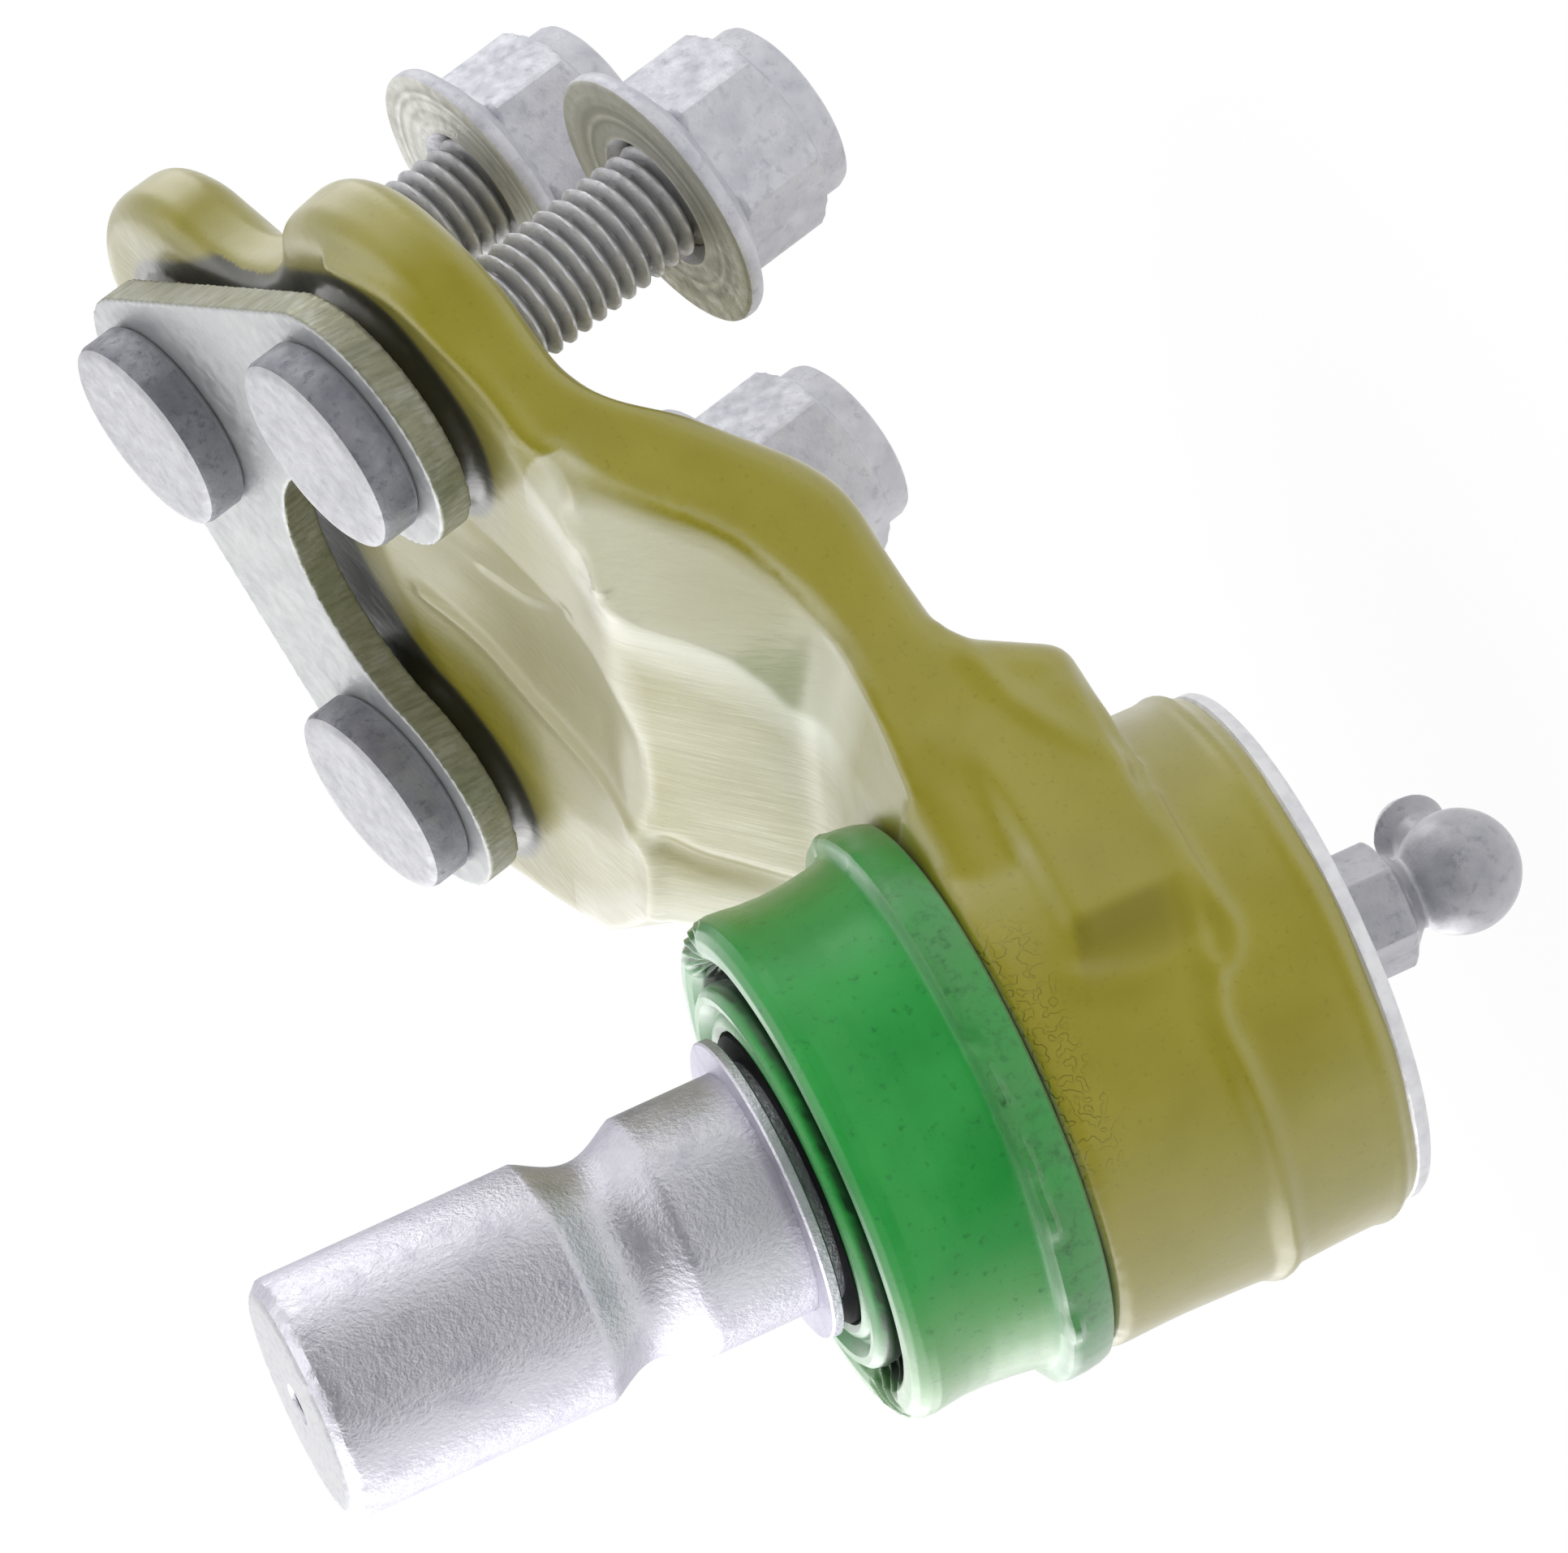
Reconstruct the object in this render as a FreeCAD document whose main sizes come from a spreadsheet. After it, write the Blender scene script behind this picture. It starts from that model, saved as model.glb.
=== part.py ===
# Suspension ball joint: a stud with a ball in a forged housing whose arm bolts to a control arm.
# Origin at the centre of the ball, +Z along the stud to its tip, +X along the arm. Millimetres.
import FreeCAD, Part
import math
import os
import Sketcher

doc = FreeCAD.newDocument("ball_joint")
V = FreeCAD.Vector

# Driving sizes in millimetres and degrees. Each is written once.
SIZES = {
    # ball, neck and stud
    "ball_radius": 13.5, "neck_radius": 7.5, "neck_top": 20.0, "stud_radius": 10.0, "shoulder_top": 24.0,
    "collar_seat": 28.9, "collar_radius": 12.5, "collar_thick": 1.1, "stud_tip": 69.4, "tip_chamfer": 1.2,
    "groove_middle": 42.8, "groove_half": 4.3, "groove_depth": 1.75, "centre_hole": 1.6, "centre_depth": 3.5,
    "swing": 25.0,
    # cup of the housing
    "cup_radius": 22.3, "cup_top": 10.6, "cup_bore": 17.0, "seat_shelf": 8.6,
    "spigot_radius": 19.6, "spigot_top": 15.2, "spigot_groove": 0.7, "mouth_gap": 0.9,
    "crimp_height": 3.2, "crimp_inset": 1.0, "cover_bore": 19.6, "ball_space": 0.5, "cover_thick": 2.4,
    # bearing seats and preload ring
    "seat_opening_gap": 0.4, "ball_gap": 0.05, "bore_gap": 0.05, "seat_split": 0.15, "seat_bottom": -9.6,
    "preload_inner": 10.5, "preload_gap": 0.1,
    # cover plate and grease nipple
    "cover_flange": 21.0, "cover_flange_thick": 0.8, "cover_gap": 0.1, "nipple_thread": 3.0,
    "nipple_gap": 0.05, "hex_across": 9.2, "hex_height": 7.9, "nipple_neck": 2.9, "sphere_radius": 5.0,
    "nipple_reach": 13.6, "head_radius": 3.2, "head_neck": 2.3, "head_length": 5.0, "head_turn": 32.0,
    "head_lift": 3.0, "grease_bore": 1.1, "check_ball": 1.25, "spring_wire": 0.25,
    # flange, arm and bolt pattern, measured along the tilted flange plane
    "flange_tilt": 14.6, "tip_bolt": 93.0, "side_bolt": 67.8, "side_spread": 26.8, "lug_radius": 16.0, "tip_lug": 16.8,
    "flange_seat": 12.5, "flange_thick": 10.0, "notch_radius": 16.0, "waist_place": 31.0, "waist_half": 25.0,
    "root_half": 21.2, "root_place": 4.0, "pad_rise": 0.8, "pad_radius": 11.2, "edge_round": 3.0,
    "dish_radius": 62.0, "dish_depth": 2.6, "dish_place": 56.0, "arm_low_top": 10.3, "arm_low_bottom": 0.2,
    "heel_bottom": -7.8, "heel_place": 23.9, "arm_step": 25.2, "slope_foot": 28.0, "slope_head": 43.0,
    "under_foot": 39.5, "under_head": 57.0, "heel_round": 2.5, "foot_round": 4.0, "slope_round": 9.0,
    "step_round": 3.0,
    "waist_round": 25.0, "lug_round": 8.0, "notch_round": 5.0,
    # clamp plate, bolts and nuts
    "plate_thick": 4.0, "plate_lobe": 11.0, "plate_gap": 0.05, "shank_radius": 4.9, "hole_gap": 0.1,
    "head_disc": 8.7, "head_thick": 3.85, "head_edge": 0.8, "bolt_length": 42.0, "bolt_chamfer": 1.0,
    "nut_face_a": -13.8, "nut_face_b": -13.8, "nut_face_c": -17.8,
    "nut_disc": 11.5, "nut_rim": 1.5, "nut_cone": 1.5, "nut_across": 16.0,
    "nut_hex": 7.8, "nut_cap": 7.6, "nut_cap_height": 2.9, "nut_sink": 1.05, "nut_gap": 0.03,
    # rubber boot and its rings
    "boot_gap": 0.15, "bead_radius": 23.2, "bead_top": 15.2, "boot_radius": 21.2, "boot_waist": 20.7,
    "boot_front": 27.0, "boot_wall": 2.4, "front_round": 1.9, "ring_inner": 19.9, "ring_outer": 21.2,
    "ring_low": 11.4, "ring_height": 3.0, "lip_outer": 16.2, "lip_inner": 12.2,
    "lip_low": 25.4, "lip_top": 28.1,
    "insert_gap": 0.1, "insert_top": 27.8,
}

sheet = doc.addObject("Spreadsheet::Sheet", "Sizes")
for row, (alias, number) in enumerate(SIZES.items(), start=1):
    sheet.set(f"A{row}", alias)
    sheet.set(f"B{row}", str(number))
    sheet.setAlias(f"B{row}", alias)
doc.recompute()


class Size:
    """A number from the sheet together with the expression that gives it."""

    def __init__(self, number, words):
        self.number = number
        self.words = words

    def join(self, other, sign, number):
        words = other.words if isinstance(other, Size) else repr(float(other))
        return Size(number, f"({self.words} {sign} {words})")

    def __float__(self):
        return float(self.number)

    def __add__(self, other):
        return self.join(other, "+", self.number + float(other))

    def __sub__(self, other):
        return self.join(other, "-", self.number - float(other))

    def __mul__(self, other):
        return self.join(other, "*", self.number * float(other))

    def __truediv__(self, other):
        return self.join(other, "/", self.number / float(other))

    def __neg__(self):
        return Size(-self.number, f"(-1 * {self.words})")


def size(alias):
    return Size(float(getattr(sheet, alias)), f"Sizes.{alias}")


def root(value):
    return Size(math.sqrt(value.number), f"sqrt({value.words})")


def square(value):
    return value * value


def sine(angle):
    return Size(math.sin(math.radians(float(angle))), f"sin({angle.words} * 1 deg)")


def cosine(angle):
    return Size(math.cos(math.radians(float(angle))), f"cos({angle.words} * 1 deg)")


def fixed(number):
    return Size(number, repr(float(number)))


ZERO = fixed(0.0)


def bind(thing, path, value):
    thing.setExpression(path, value.words)


def new_body(label):
    body = doc.addObject("PartDesign::Body", label)
    body.Label = label
    return body


def plane_of(body, role):
    return next(f for f in body.Origin.OriginFeatures if f.Role == role)


def bind_point(sketch, index, end, x, y):
    """Holds one end of a piece of outline at a pair of sizes."""
    for kind, value in (("DistanceX", x), ("DistanceY", y)):
        number = sketch.addConstraint(Sketcher.Constraint(kind, -1, 1, index, end, float(value)))
        sketch.setExpression(f"Constraints[{number}]", value.words)


def arc_between(start, end, radius, left):
    """The short arc from start to end, whose centre is on the left or the right of the way."""
    middle = (start + end) * 0.5
    way = end - start
    side = V(-way.y, way.x, 0).normalize() * (1 if left else -1)
    reach = math.sqrt(max(radius * radius - way.Length ** 2 / 4, 0.0))
    centre = middle + side * reach
    top = centre - side * radius
    return Part.Arc(start, top, end)


def outline(body, name, role, points):
    """A closed outline of straight and round stretches, every corner bound to the sheet.

    Each point is (x, y) for a straight stretch to the next one, or (x, y, radius, left) for a round one.
    """
    sketch = body.newObject("Sketcher::SketchObject", name)
    sketch.AttachmentSupport = [(plane_of(body, role), "")]
    sketch.MapMode = "FlatFace"
    count = len(points)
    for index, point in enumerate(points):
        after = points[(index + 1) % count]
        start = V(float(point[0]), float(point[1]), 0)
        end = V(float(after[0]), float(after[1]), 0)
        if len(point) == 2:
            sketch.addGeometry(Part.LineSegment(start, end), False)
        else:
            sketch.addGeometry(arc_between(start, end, float(point[2]), point[3]), False)
    ends = []
    for index, point in enumerate(points):
        turned = len(point) > 2 and point[3]
        ends.append((1, 2) if len(point) == 2 or turned else (2, 1))
    for index, point in enumerate(points):
        bind_point(sketch, index, ends[index][0], point[0], point[1])
        after = (index + 1) % count
        sketch.addConstraint(Sketcher.Constraint("Coincident", index, ends[index][1], after, ends[after][0]))
        if len(point) > 2:
            number = sketch.addConstraint(Sketcher.Constraint("Radius", index, float(point[2])))
            sketch.setExpression(f"Constraints[{number}]", point[2].words)
    return sketch


def spun(label, points):
    """A turned piece: an outline of (radius, height) points swept once round the Z axis."""
    body = new_body(label)
    sketch = outline(body, label + "_outline", "XZ_Plane", points)
    turn = body.newObject("PartDesign::Revolution", label + "_turn")
    turn.Profile = sketch
    turn.ReferenceAxis = (sketch, ["V_Axis"])
    turn.Angle = 360.0
    sketch.Visibility = False
    body.Tip = turn
    return body


def padded(label, points, role, length, both_ways=False, turned=False):
    body = new_body(label)
    sketch = outline(body, label + "_outline", role, points)
    pad = body.newObject("PartDesign::Pad", label + "_pad")
    pad.Profile = sketch
    pad.Midplane = both_ways
    pad.Reversed = turned
    bind(pad, "Length", length)
    body.Tip = pad
    return body


def boolean(kind, label, *pieces):
    """One solid from others: pieces are fused, shared, or the second is cut from the first."""
    made = doc.addObject(f"Part::{kind}", label)
    made.Label = label
    if kind == "Cut":
        made.Base, made.Tool = pieces
    else:
        made.Shapes = list(pieces)
    return made


def cylinder(label, radius, length, x=ZERO, y=ZERO, z=ZERO):
    made = doc.addObject("Part::Cylinder", label)
    bind(made, "Radius", radius)
    bind(made, "Height", length)
    place(made, x, y, z)
    return made


def ball(label, radius, x=ZERO, y=ZERO, z=ZERO):
    made = doc.addObject("Part::Sphere", label)
    bind(made, "Radius", radius)
    place(made, x, y, z)
    return made


def hexagon(label, across, height, z):
    made = doc.addObject("Part::Prism", label)
    made.Polygon = 6
    bind(made, "Circumradius", across / fixed(math.sqrt(3.0)))
    bind(made, "Height", height)
    place(made, ZERO, ZERO, z)
    return made


def place(thing, x, y, z):
    for axis, value in (("x", x), ("y", y), ("z", z)):
        bind(thing, f"Placement.Base.{axis}", value)


def tilt(thing, along=ZERO, across=ZERO, height=ZERO):
    """Puts a piece drawn square to the flange at its place in the tilted flange plane."""
    angle = size("flange_tilt")
    thing.Placement = FreeCAD.Placement(V(0, 0, 0), FreeCAD.Rotation(V(0, -1, 0), float(angle)))
    bind(thing, "Placement.Rotation.Angle", angle * fixed(1.0))
    place(thing, flat_x(along, height), across, flat_z(along, height))


def flat_x(along, height):
    return along * cosine(size("flange_tilt")) - height * sine(size("flange_tilt"))


def flat_z(along, height):
    return along * sine(size("flange_tilt")) + height * cosine(size("flange_tilt"))


NODES = {}


def keep(name, thing):
    thing.Label = name
    NODES[name] = thing
    return thing


BOLTS = {
    "a": (size("tip_bolt"), ZERO),
    "b": (size("side_bolt"), -size("side_spread")),
    "c": (size("side_bolt"), size("side_spread")),
}


# The mouth of the cup and the opening of the upper seat are cones that clear the swinging neck.
def neck_clearance(height, gap):
    angle = size("swing")
    return height * sine(angle) / cosine(angle) + size("neck_radius") / cosine(angle) + gap


# Forged housing: a turned cup, and an arm that is an S in side view and three lugs in plan.
def cover_shelf():
    """Inner face of the cover, just clear of the ball."""
    return -(size("ball_radius") + size("ball_space"))


def cup_bottom():
    return cover_shelf() - size("cover_thick")


def cup_outline():
    top = size("cup_top")
    low = cup_bottom()
    wall = size("cup_radius")
    shelf = size("seat_shelf")
    crimp = low + size("crimp_height")
    spigot = size("spigot_radius")
    spigot_top = size("spigot_top")
    waist = spigot - size("spigot_groove")
    return [
        (size("cover_bore"), low), (wall - size("crimp_inset"), low), (wall, crimp), (wall, top - fixed(0.6)),
        (wall - fixed(0.6), top), (waist, top),
        (waist, top + size("ring_height")), (spigot, top + size("ring_height")),
        (spigot, spigot_top), (neck_clearance(spigot_top, size("mouth_gap")), spigot_top),
        (neck_clearance(shelf, size("mouth_gap")), shelf), (size("cup_bore"), shelf),
        (size("cup_bore"), cover_shelf()), (size("cover_bore"), cover_shelf()),
    ]


def side_corners():
    """Side view of the arm: low beside the cup, then a slope up to the tilted flange.

    Each corner is its place along the arm, its height and the radius that it is rounded to.
    """
    seat = size("flange_seat")
    under = seat - size("flange_thick")
    end = size("tip_bolt") + size("lug_radius") + fixed(4.0)
    low_top = size("arm_low_top")
    low_bottom = size("arm_low_bottom")
    heel = size("heel_place")
    return [
        (size("root_place"), low_top, None), (size("root_place"), size("heel_bottom"), None),
        (heel - fixed(2.5), size("heel_bottom"), "heel_round"), (heel + fixed(2.0), low_bottom, "heel_round"),
        (size("under_foot"), low_bottom + fixed(1.8), "slope_round"),
        (flat_x(size("under_head"), under), flat_z(size("under_head"), under), "slope_round"),
        (flat_x(end, under), flat_z(end, under), None), (flat_x(end, seat), flat_z(end, seat), None),
        (flat_x(size("slope_head"), seat), flat_z(size("slope_head"), seat), "slope_round"),
        (size("slope_foot"), low_top + fixed(0.8), "foot_round"), (size("arm_step"), low_top, "step_round"),
    ]


def on_lug(name, degrees):
    angle = fixed(degrees)
    centre = BOLTS[name]
    radius = size("tip_lug") if name == "a" else size("lug_radius")
    return centre[0] + radius * cosine(angle), centre[1] + radius * sine(angle)


def mirrored(point):
    return point[0], -point[1]


def plan_outline():
    """Plan of the arm in the flange plane: root, waist, side lug, notch and the lug at the tip."""
    lug = size("lug_radius")
    tip = size("tip_lug")
    notch = size("notch_radius")
    root_low = (size("root_place"), -size("root_half"))
    waist_low = (size("waist_place"), -size("waist_half"))
    side_start, side_end, tip_start = plan_corners()[1:4]
    return [
        root_low, waist_low, (*side_start, lug, True), (*side_end, notch, False), (*tip_start, tip, True),
        (*mirrored(tip_start), notch, False), (*mirrored(side_end), lug, True), mirrored(side_start),
        mirrored(waist_low), mirrored(root_low),
    ]


def plan_corners():
    """The corners of one half of the plan, from the waist to the lug at the tip."""
    return [
        (size("waist_place"), -size("waist_half")), on_lug("b", -122.0), on_lug("b", -18.0),
        on_lug("a", -68.0),
    ]


def soften(label, source, corners, across):
    """Rounds the upright edges of a block at some corners. A corner is two coordinates and a radius."""
    doc.recompute()
    made = doc.addObject("Part::Fillet", label)
    made.Base = source
    chosen = []
    for number, edge in enumerate(source.Shape.Edges, start=1):
        for first, second, radius in corners:
            if stands_at(edge, float(first), float(second), across):
                chosen.append((number, float(radius), float(radius)))
    made.Edges = chosen
    return made


def stands_at(edge, first, second, across):
    """True for an edge whose two ends are at one corner, seen along Y or along the block's own Z."""
    if len(edge.Vertexes) != 2:
        return False
    for vertex in edge.Vertexes:
        other = vertex.Z if across == "Y" else vertex.Y
        if abs(vertex.X - first) > 0.001 or abs(other - second) > 0.001:
            return False
    return True


def arm_block():
    """The side view and the plan of the arm, each with its corners rounded, and what they share."""
    wide = (size("side_spread") + size("lug_radius")) * 2.0 + fixed(4.0)
    side = padded("arm_side", [(x, z) for x, z, _ in side_corners()], "XZ_Plane", wide, both_ways=True)
    bends = [(x, z, size(radius)) for x, z, radius in side_corners() if radius]
    side_round = soften("arm_side_round", side, bends, "Y")
    plan = padded("arm_plan", plan_outline(), "XY_Plane", fixed(140.0), both_ways=True)
    radii = [size("waist_round"), size("lug_round"), size("notch_round"), size("notch_round")]
    turns = [(*corner, radius) for corner, radius in zip(plan_corners(), radii)]
    turns += [(*mirrored(corner), corner[2]) for corner in turns]
    plan_round = soften("arm_plan_round", plan, turns, "Z")
    tilt(plan_round)
    return boolean("MultiCommon", "arm_block", side_round, plan_round)


def forged_housing():
    cup = spun("cup", cup_outline())
    arm = arm_block()
    doc.recompute()
    rounded = round_rims("arm_rounded", arm, size("edge_round"))
    dish_top = size("flange_seat") - size("dish_depth") + size("dish_radius")
    dish = ball("arm_dish", size("dish_radius"))
    tilt(dish, size("dish_place"), ZERO, dish_top)
    dished = boolean("Cut", "arm_dished", rounded, dish)
    pads = [flange_pad(name) for name in BOLTS]
    core = cylinder("cup_core", size("cup_bore"), size("seat_shelf") - cover_shelf(), ZERO, ZERO,
                    cover_shelf())
    mouth = spun("mouth_cut", [
        (ZERO, size("seat_shelf")), (neck_clearance(size("seat_shelf"), size("mouth_gap")), size("seat_shelf")),
        (neck_clearance(size("spigot_top"), size("mouth_gap")), size("spigot_top")), (ZERO, size("spigot_top")),
    ])
    whole = boolean("MultiFuse", "housing_whole", cup, dished, *pads)
    hollow = boolean("Cut", "housing_hollow", whole, boolean("MultiFuse", "housing_bore", core, mouth))
    holes = [bolt_hole(name) for name in BOLTS]
    return boolean("Cut", "housing_drilled", hollow, boolean("MultiFuse", "bolt_holes", *holes))


def flange_pad(name):
    """A low machined pad that the clamp plate lies on, round each bolt."""
    along, across = BOLTS[name]
    pad = cylinder("pad_" + name, size("pad_radius"), size("pad_rise") + fixed(2.0))
    tilt(pad, along, across, size("flange_seat") - fixed(2.0))
    return pad


def bolt_hole(name):
    along, across = BOLTS[name]
    hole = cylinder("hole_" + name, size("shank_radius") + size("hole_gap"), size("flange_thick") + fixed(8.0))
    tilt(hole, along, across, size("flange_seat") - size("flange_thick") - fixed(4.0))
    return hole


def round_rims(label, source, radius):
    """Rounds the rims of the arm's top and underside, clear of the cup."""
    made = doc.addObject("Part::Fillet", label)
    made.Base = source
    shape = source.Shape
    made.Edges = [(number, float(radius), float(radius)) for number, edge in enumerate(shape.Edges, start=1)
                  if is_rim(shape, edge)]
    return made


def is_rim(shape, edge):
    """True where a wall of the plan meets the top or the underside of the arm, outboard of the cup."""
    middle = edge.valueAt((edge.FirstParameter + edge.LastParameter) / 2)
    faces = [face for face in shape.Faces if any(edge.isSame(other) for other in face.Edges)]
    walls = [face for face in faces if is_wall(face)]
    return middle.x > float(size("cup_radius")) + 4.7 and len(faces) == 2 and len(walls) == 1


def is_wall(face):
    """True for a face that stands square to the flange."""
    angle = math.radians(float(size("flange_tilt")))
    up = V(-math.sin(angle), 0, math.cos(angle))
    u0, u1, v0, v1 = face.ParameterRange
    return abs(face.normalAt((u0 + u1) / 2, (v0 + v1) / 2).dot(up)) < 0.05


keep("forged_housing", forged_housing())


# Bearing seats of moulded plastic above and below the ball, and the ring that presses them together.
def upper_seat():
    inner = size("ball_radius") + size("ball_gap")
    outer = size("cup_bore") - size("bore_gap")
    split = size("seat_split")
    slope = sine(size("swing")) / cosine(size("swing"))
    start = size("neck_radius") / cosine(size("swing")) + size("seat_opening_gap")
    lead = square(slope) + fixed(1.0)
    reach = root(square(slope * start) - lead * (square(start) - square(inner)))
    meet = (reach - slope * start) / lead
    top = size("seat_shelf")
    return spun("upper_seat", [
        (outer, split), (outer, top), (slope * top + start, top),
        (slope * meet + start, meet, inner, False), (root(square(inner) - square(split)), split),
    ])


def lower_seat():
    inner = size("ball_radius") + size("ball_gap")
    outer = size("cup_bore") - size("bore_gap")
    split = -size("seat_split")
    low = size("seat_bottom")
    return spun("lower_seat", [
        (outer, split), (root(square(inner) - square(split)), split, inner, False),
        (root(square(inner) - square(low)), low), (outer, low),
    ])


def preload_ring():
    outer = size("cup_bore") - size("bore_gap")
    low = cover_shelf() + size("preload_gap")
    top = size("seat_bottom") - size("preload_gap")
    inner = size("preload_inner")
    swell = fixed(0.6)
    return spun("preload_ring", [
        (inner, low + swell), (inner + swell, low), (outer - swell, low), (outer, low + swell),
        (outer, top - swell), (outer - swell, top), (inner + swell, top), (inner, top - swell),
    ])


keep("upper_seat", upper_seat())
keep("lower_seat", lower_seat())
keep("preload_ring", preload_ring())


# Cover plate: a stepped disc, its plug in the bore and its flange over the end of the cup.
def cover_plate():
    low = cup_bottom()
    face = low - size("cover_flange_thick")
    bore = size("nipple_thread") + size("nipple_gap")
    return spun("cover_plate", [
        (bore, face), (size("cover_flange") - fixed(0.3), face), (size("cover_flange"), face + fixed(0.3)),
        (size("cover_flange"), low - size("nipple_gap")),
        (size("cover_bore") - size("cover_gap"), low - size("nipple_gap")),
        (size("cover_bore") - size("cover_gap"), cover_shelf()), (bore, cover_shelf()),
    ])


keep("cover_plate", cover_plate())


# Grease nipple: hexagon, flared neck and a ball-shaped body with the filling head at its side.
def nipple_face():
    return cup_bottom() - size("cover_flange_thick")


def sphere_place():
    return nipple_face() - size("nipple_reach")


def nipple_body():
    face = nipple_face()
    hexagon_low = face - size("hex_height")
    ball_low = sphere_place()
    neck = size("nipple_neck")
    reach = ball_low + root(square(size("sphere_radius")) - square(neck))
    stem = cylinder("nipple_stem", size("nipple_thread"), cover_shelf() - face, ZERO, ZERO, face)
    nut = chamfered_hexagon("nipple_hex", size("hex_across"), size("hex_height"), hexagon_low)
    waist = spun("nipple_waist", [
        (ZERO, reach - fixed(1.0)), (neck, reach - fixed(1.0)), (neck, reach + fixed(0.4)),
        (size("hex_across") * 0.46, hexagon_low), (ZERO, hexagon_low),
    ])
    sphere = ball("nipple_ball", size("sphere_radius"), ZERO, ZERO, ball_low)
    whole = boolean("MultiFuse", "nipple_whole", stem, nut, waist, sphere)
    bore = cylinder("nipple_bore", size("grease_bore"), cover_shelf() - ball_low + fixed(2.0), ZERO, ZERO,
                    ball_low)
    side = aimed(cylinder("nipple_side_bore", size("head_neck"), size("sphere_radius") + fixed(2.0)), ZERO)
    return boolean("Cut", "nipple_drilled", whole, boolean("MultiFuse", "nipple_bores", bore, side))


def chamfered_hexagon(label, across, height, low):
    prism = hexagon(label + "_prism", across, height, low)
    corner = across / fixed(math.sqrt(3.0))
    bevel = corner - across * 0.5
    barrel = spun(label + "_barrel", [
        (ZERO, low), (across * 0.48, low), (corner, low + bevel), (corner, low + height - bevel),
        (across * 0.48, low + height), (ZERO, low + height),
    ])
    return boolean("MultiCommon", label, prism, barrel)


def aimed(thing, start):
    """Turns a piece drawn up the Z axis so that it points out of the side of the nipple's ball."""
    turn = FreeCAD.Rotation(V(0, 0, 1), float(size("head_turn")))
    lift = FreeCAD.Rotation(V(0, 1, 0), 90.0 - float(size("head_lift")))
    heading = turn.multiply(lift)
    way = heading.multVec(V(0, 0, 1))
    thing.Placement = FreeCAD.Placement(V(0, 0, 0), heading)
    for axis, share in (("x", way.x), ("y", way.y)):
        bind(thing, f"Placement.Base.{axis}", start * share)
    bind(thing, "Placement.Base.z", sphere_place() + start * way.z)
    return thing


def nipple_head():
    """The filling head: a stem in the ball, a neck and the rounded mouth that the coupler grips."""
    stem = size("head_neck") - size("nipple_gap")
    inside = size("check_ball") + fixed(0.2)
    out = size("sphere_radius") + size("head_length")
    edge = size("head_radius")
    body = spun("nipple_head", [
        (inside, size("grease_bore") + fixed(1.0)), (stem, size("grease_bore") + fixed(1.0)),
        (stem, out - fixed(3.0)), (edge, out - fixed(1.6)), (edge - fixed(0.9), out),
        (fixed(0.8), out), (fixed(0.8), out - fixed(0.8)), (inside, out - fixed(1.6)),
    ])
    return aimed(body, ZERO)


def check_ball():
    made = ball("nipple_check_ball", size("check_ball"))
    out = size("sphere_radius") + size("head_length")
    return aimed(made, out - fixed(1.8) - size("check_ball"))


def check_spring():
    """A small coil spring behind the check ball, wound from round wire."""
    out = float(size("sphere_radius") + size("head_length"))
    wire = float(size("spring_wire"))
    radius = float(size("check_ball")) - wire
    low = float(size("grease_bore")) + 1.2
    high = out - 1.8 - 2.0 * float(size("check_ball")) - wire - 0.02
    turns = 4.0
    pitch = (high - low) / turns
    helix = Part.makeHelix(pitch, high - low, radius)
    start = helix.Edges[0].valueAt(helix.Edges[0].FirstParameter)
    ring = Part.Wire(Part.makeCircle(wire, start, V(0, 1, 0)))
    coil = Part.Wire(helix.Edges).makePipeShell([ring], True, True)
    made = doc.addObject("Part::Feature", "nipple_spring")
    made.Shape = coil
    return aimed(made, size("grease_bore") + fixed(1.2))


keep("nipple_body", nipple_body())
keep("nipple_head", nipple_head())
keep("nipple_check_ball", check_ball())
keep("nipple_spring", check_spring())


# Clamp plate: a flat stamped boomerang that ties the three bolt heads together.
def clamp_plate():
    lobe = size("plate_lobe")
    along = size("tip_bolt") - size("side_bolt")
    spread = size("side_spread")
    span = root(square(along) + square(spread))
    # unit way square to the line from the tip bolt to a side bolt, pointing outward
    out_x = spread / span
    out_y = along / span
    tip_low = (size("tip_bolt") + lobe * out_x, -(lobe * out_y))
    side_low = (size("side_bolt") + lobe * out_x, -(spread + lobe * out_y))
    end_low = (size("side_bolt") - lobe, -spread)
    inner_low = (size("side_bolt"), lobe - spread)
    inner_top = size("tip_bolt") - size("head_disc") - size("plate_lobe") * 0.43
    half = spread - lobe
    deep = inner_top - size("side_bolt")
    inner_radius = (square(half) + square(deep)) / (deep * 2.0)
    tip_high, side_high, end_high, inner_high = [(x, -y) for x, y in (tip_low, side_low, end_low, inner_low)]
    tip_end = (size("tip_bolt") + lobe, ZERO)
    body = padded("clamp_plate", [
        (*tip_end, lobe, True), tip_high, (*side_high, lobe, True), (*end_high, lobe, True),
        (*inner_high, inner_radius, False), (inner_top, ZERO, inner_radius, False),
        (*inner_low, lobe, True), (*end_low, lobe, True), side_low, (*tip_low, lobe, True),
    ], "XY_Plane", size("plate_thick"))
    tilt(body, ZERO, ZERO, plate_low())
    holes = []
    for name, (place_along, place_across) in BOLTS.items():
        hole = cylinder("plate_hole_" + name, size("shank_radius") + size("hole_gap"),
                        size("plate_thick") + fixed(2.0))
        tilt(hole, place_along, place_across, plate_low() - fixed(1.0))
        holes.append(hole)
    return boolean("Cut", "clamp_plate_drilled", body, boolean("MultiFuse", "plate_holes", *holes))


def plate_low():
    return size("flange_seat") + size("pad_rise") + size("plate_gap")


def plate_top():
    return plate_low() + size("plate_thick")


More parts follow.
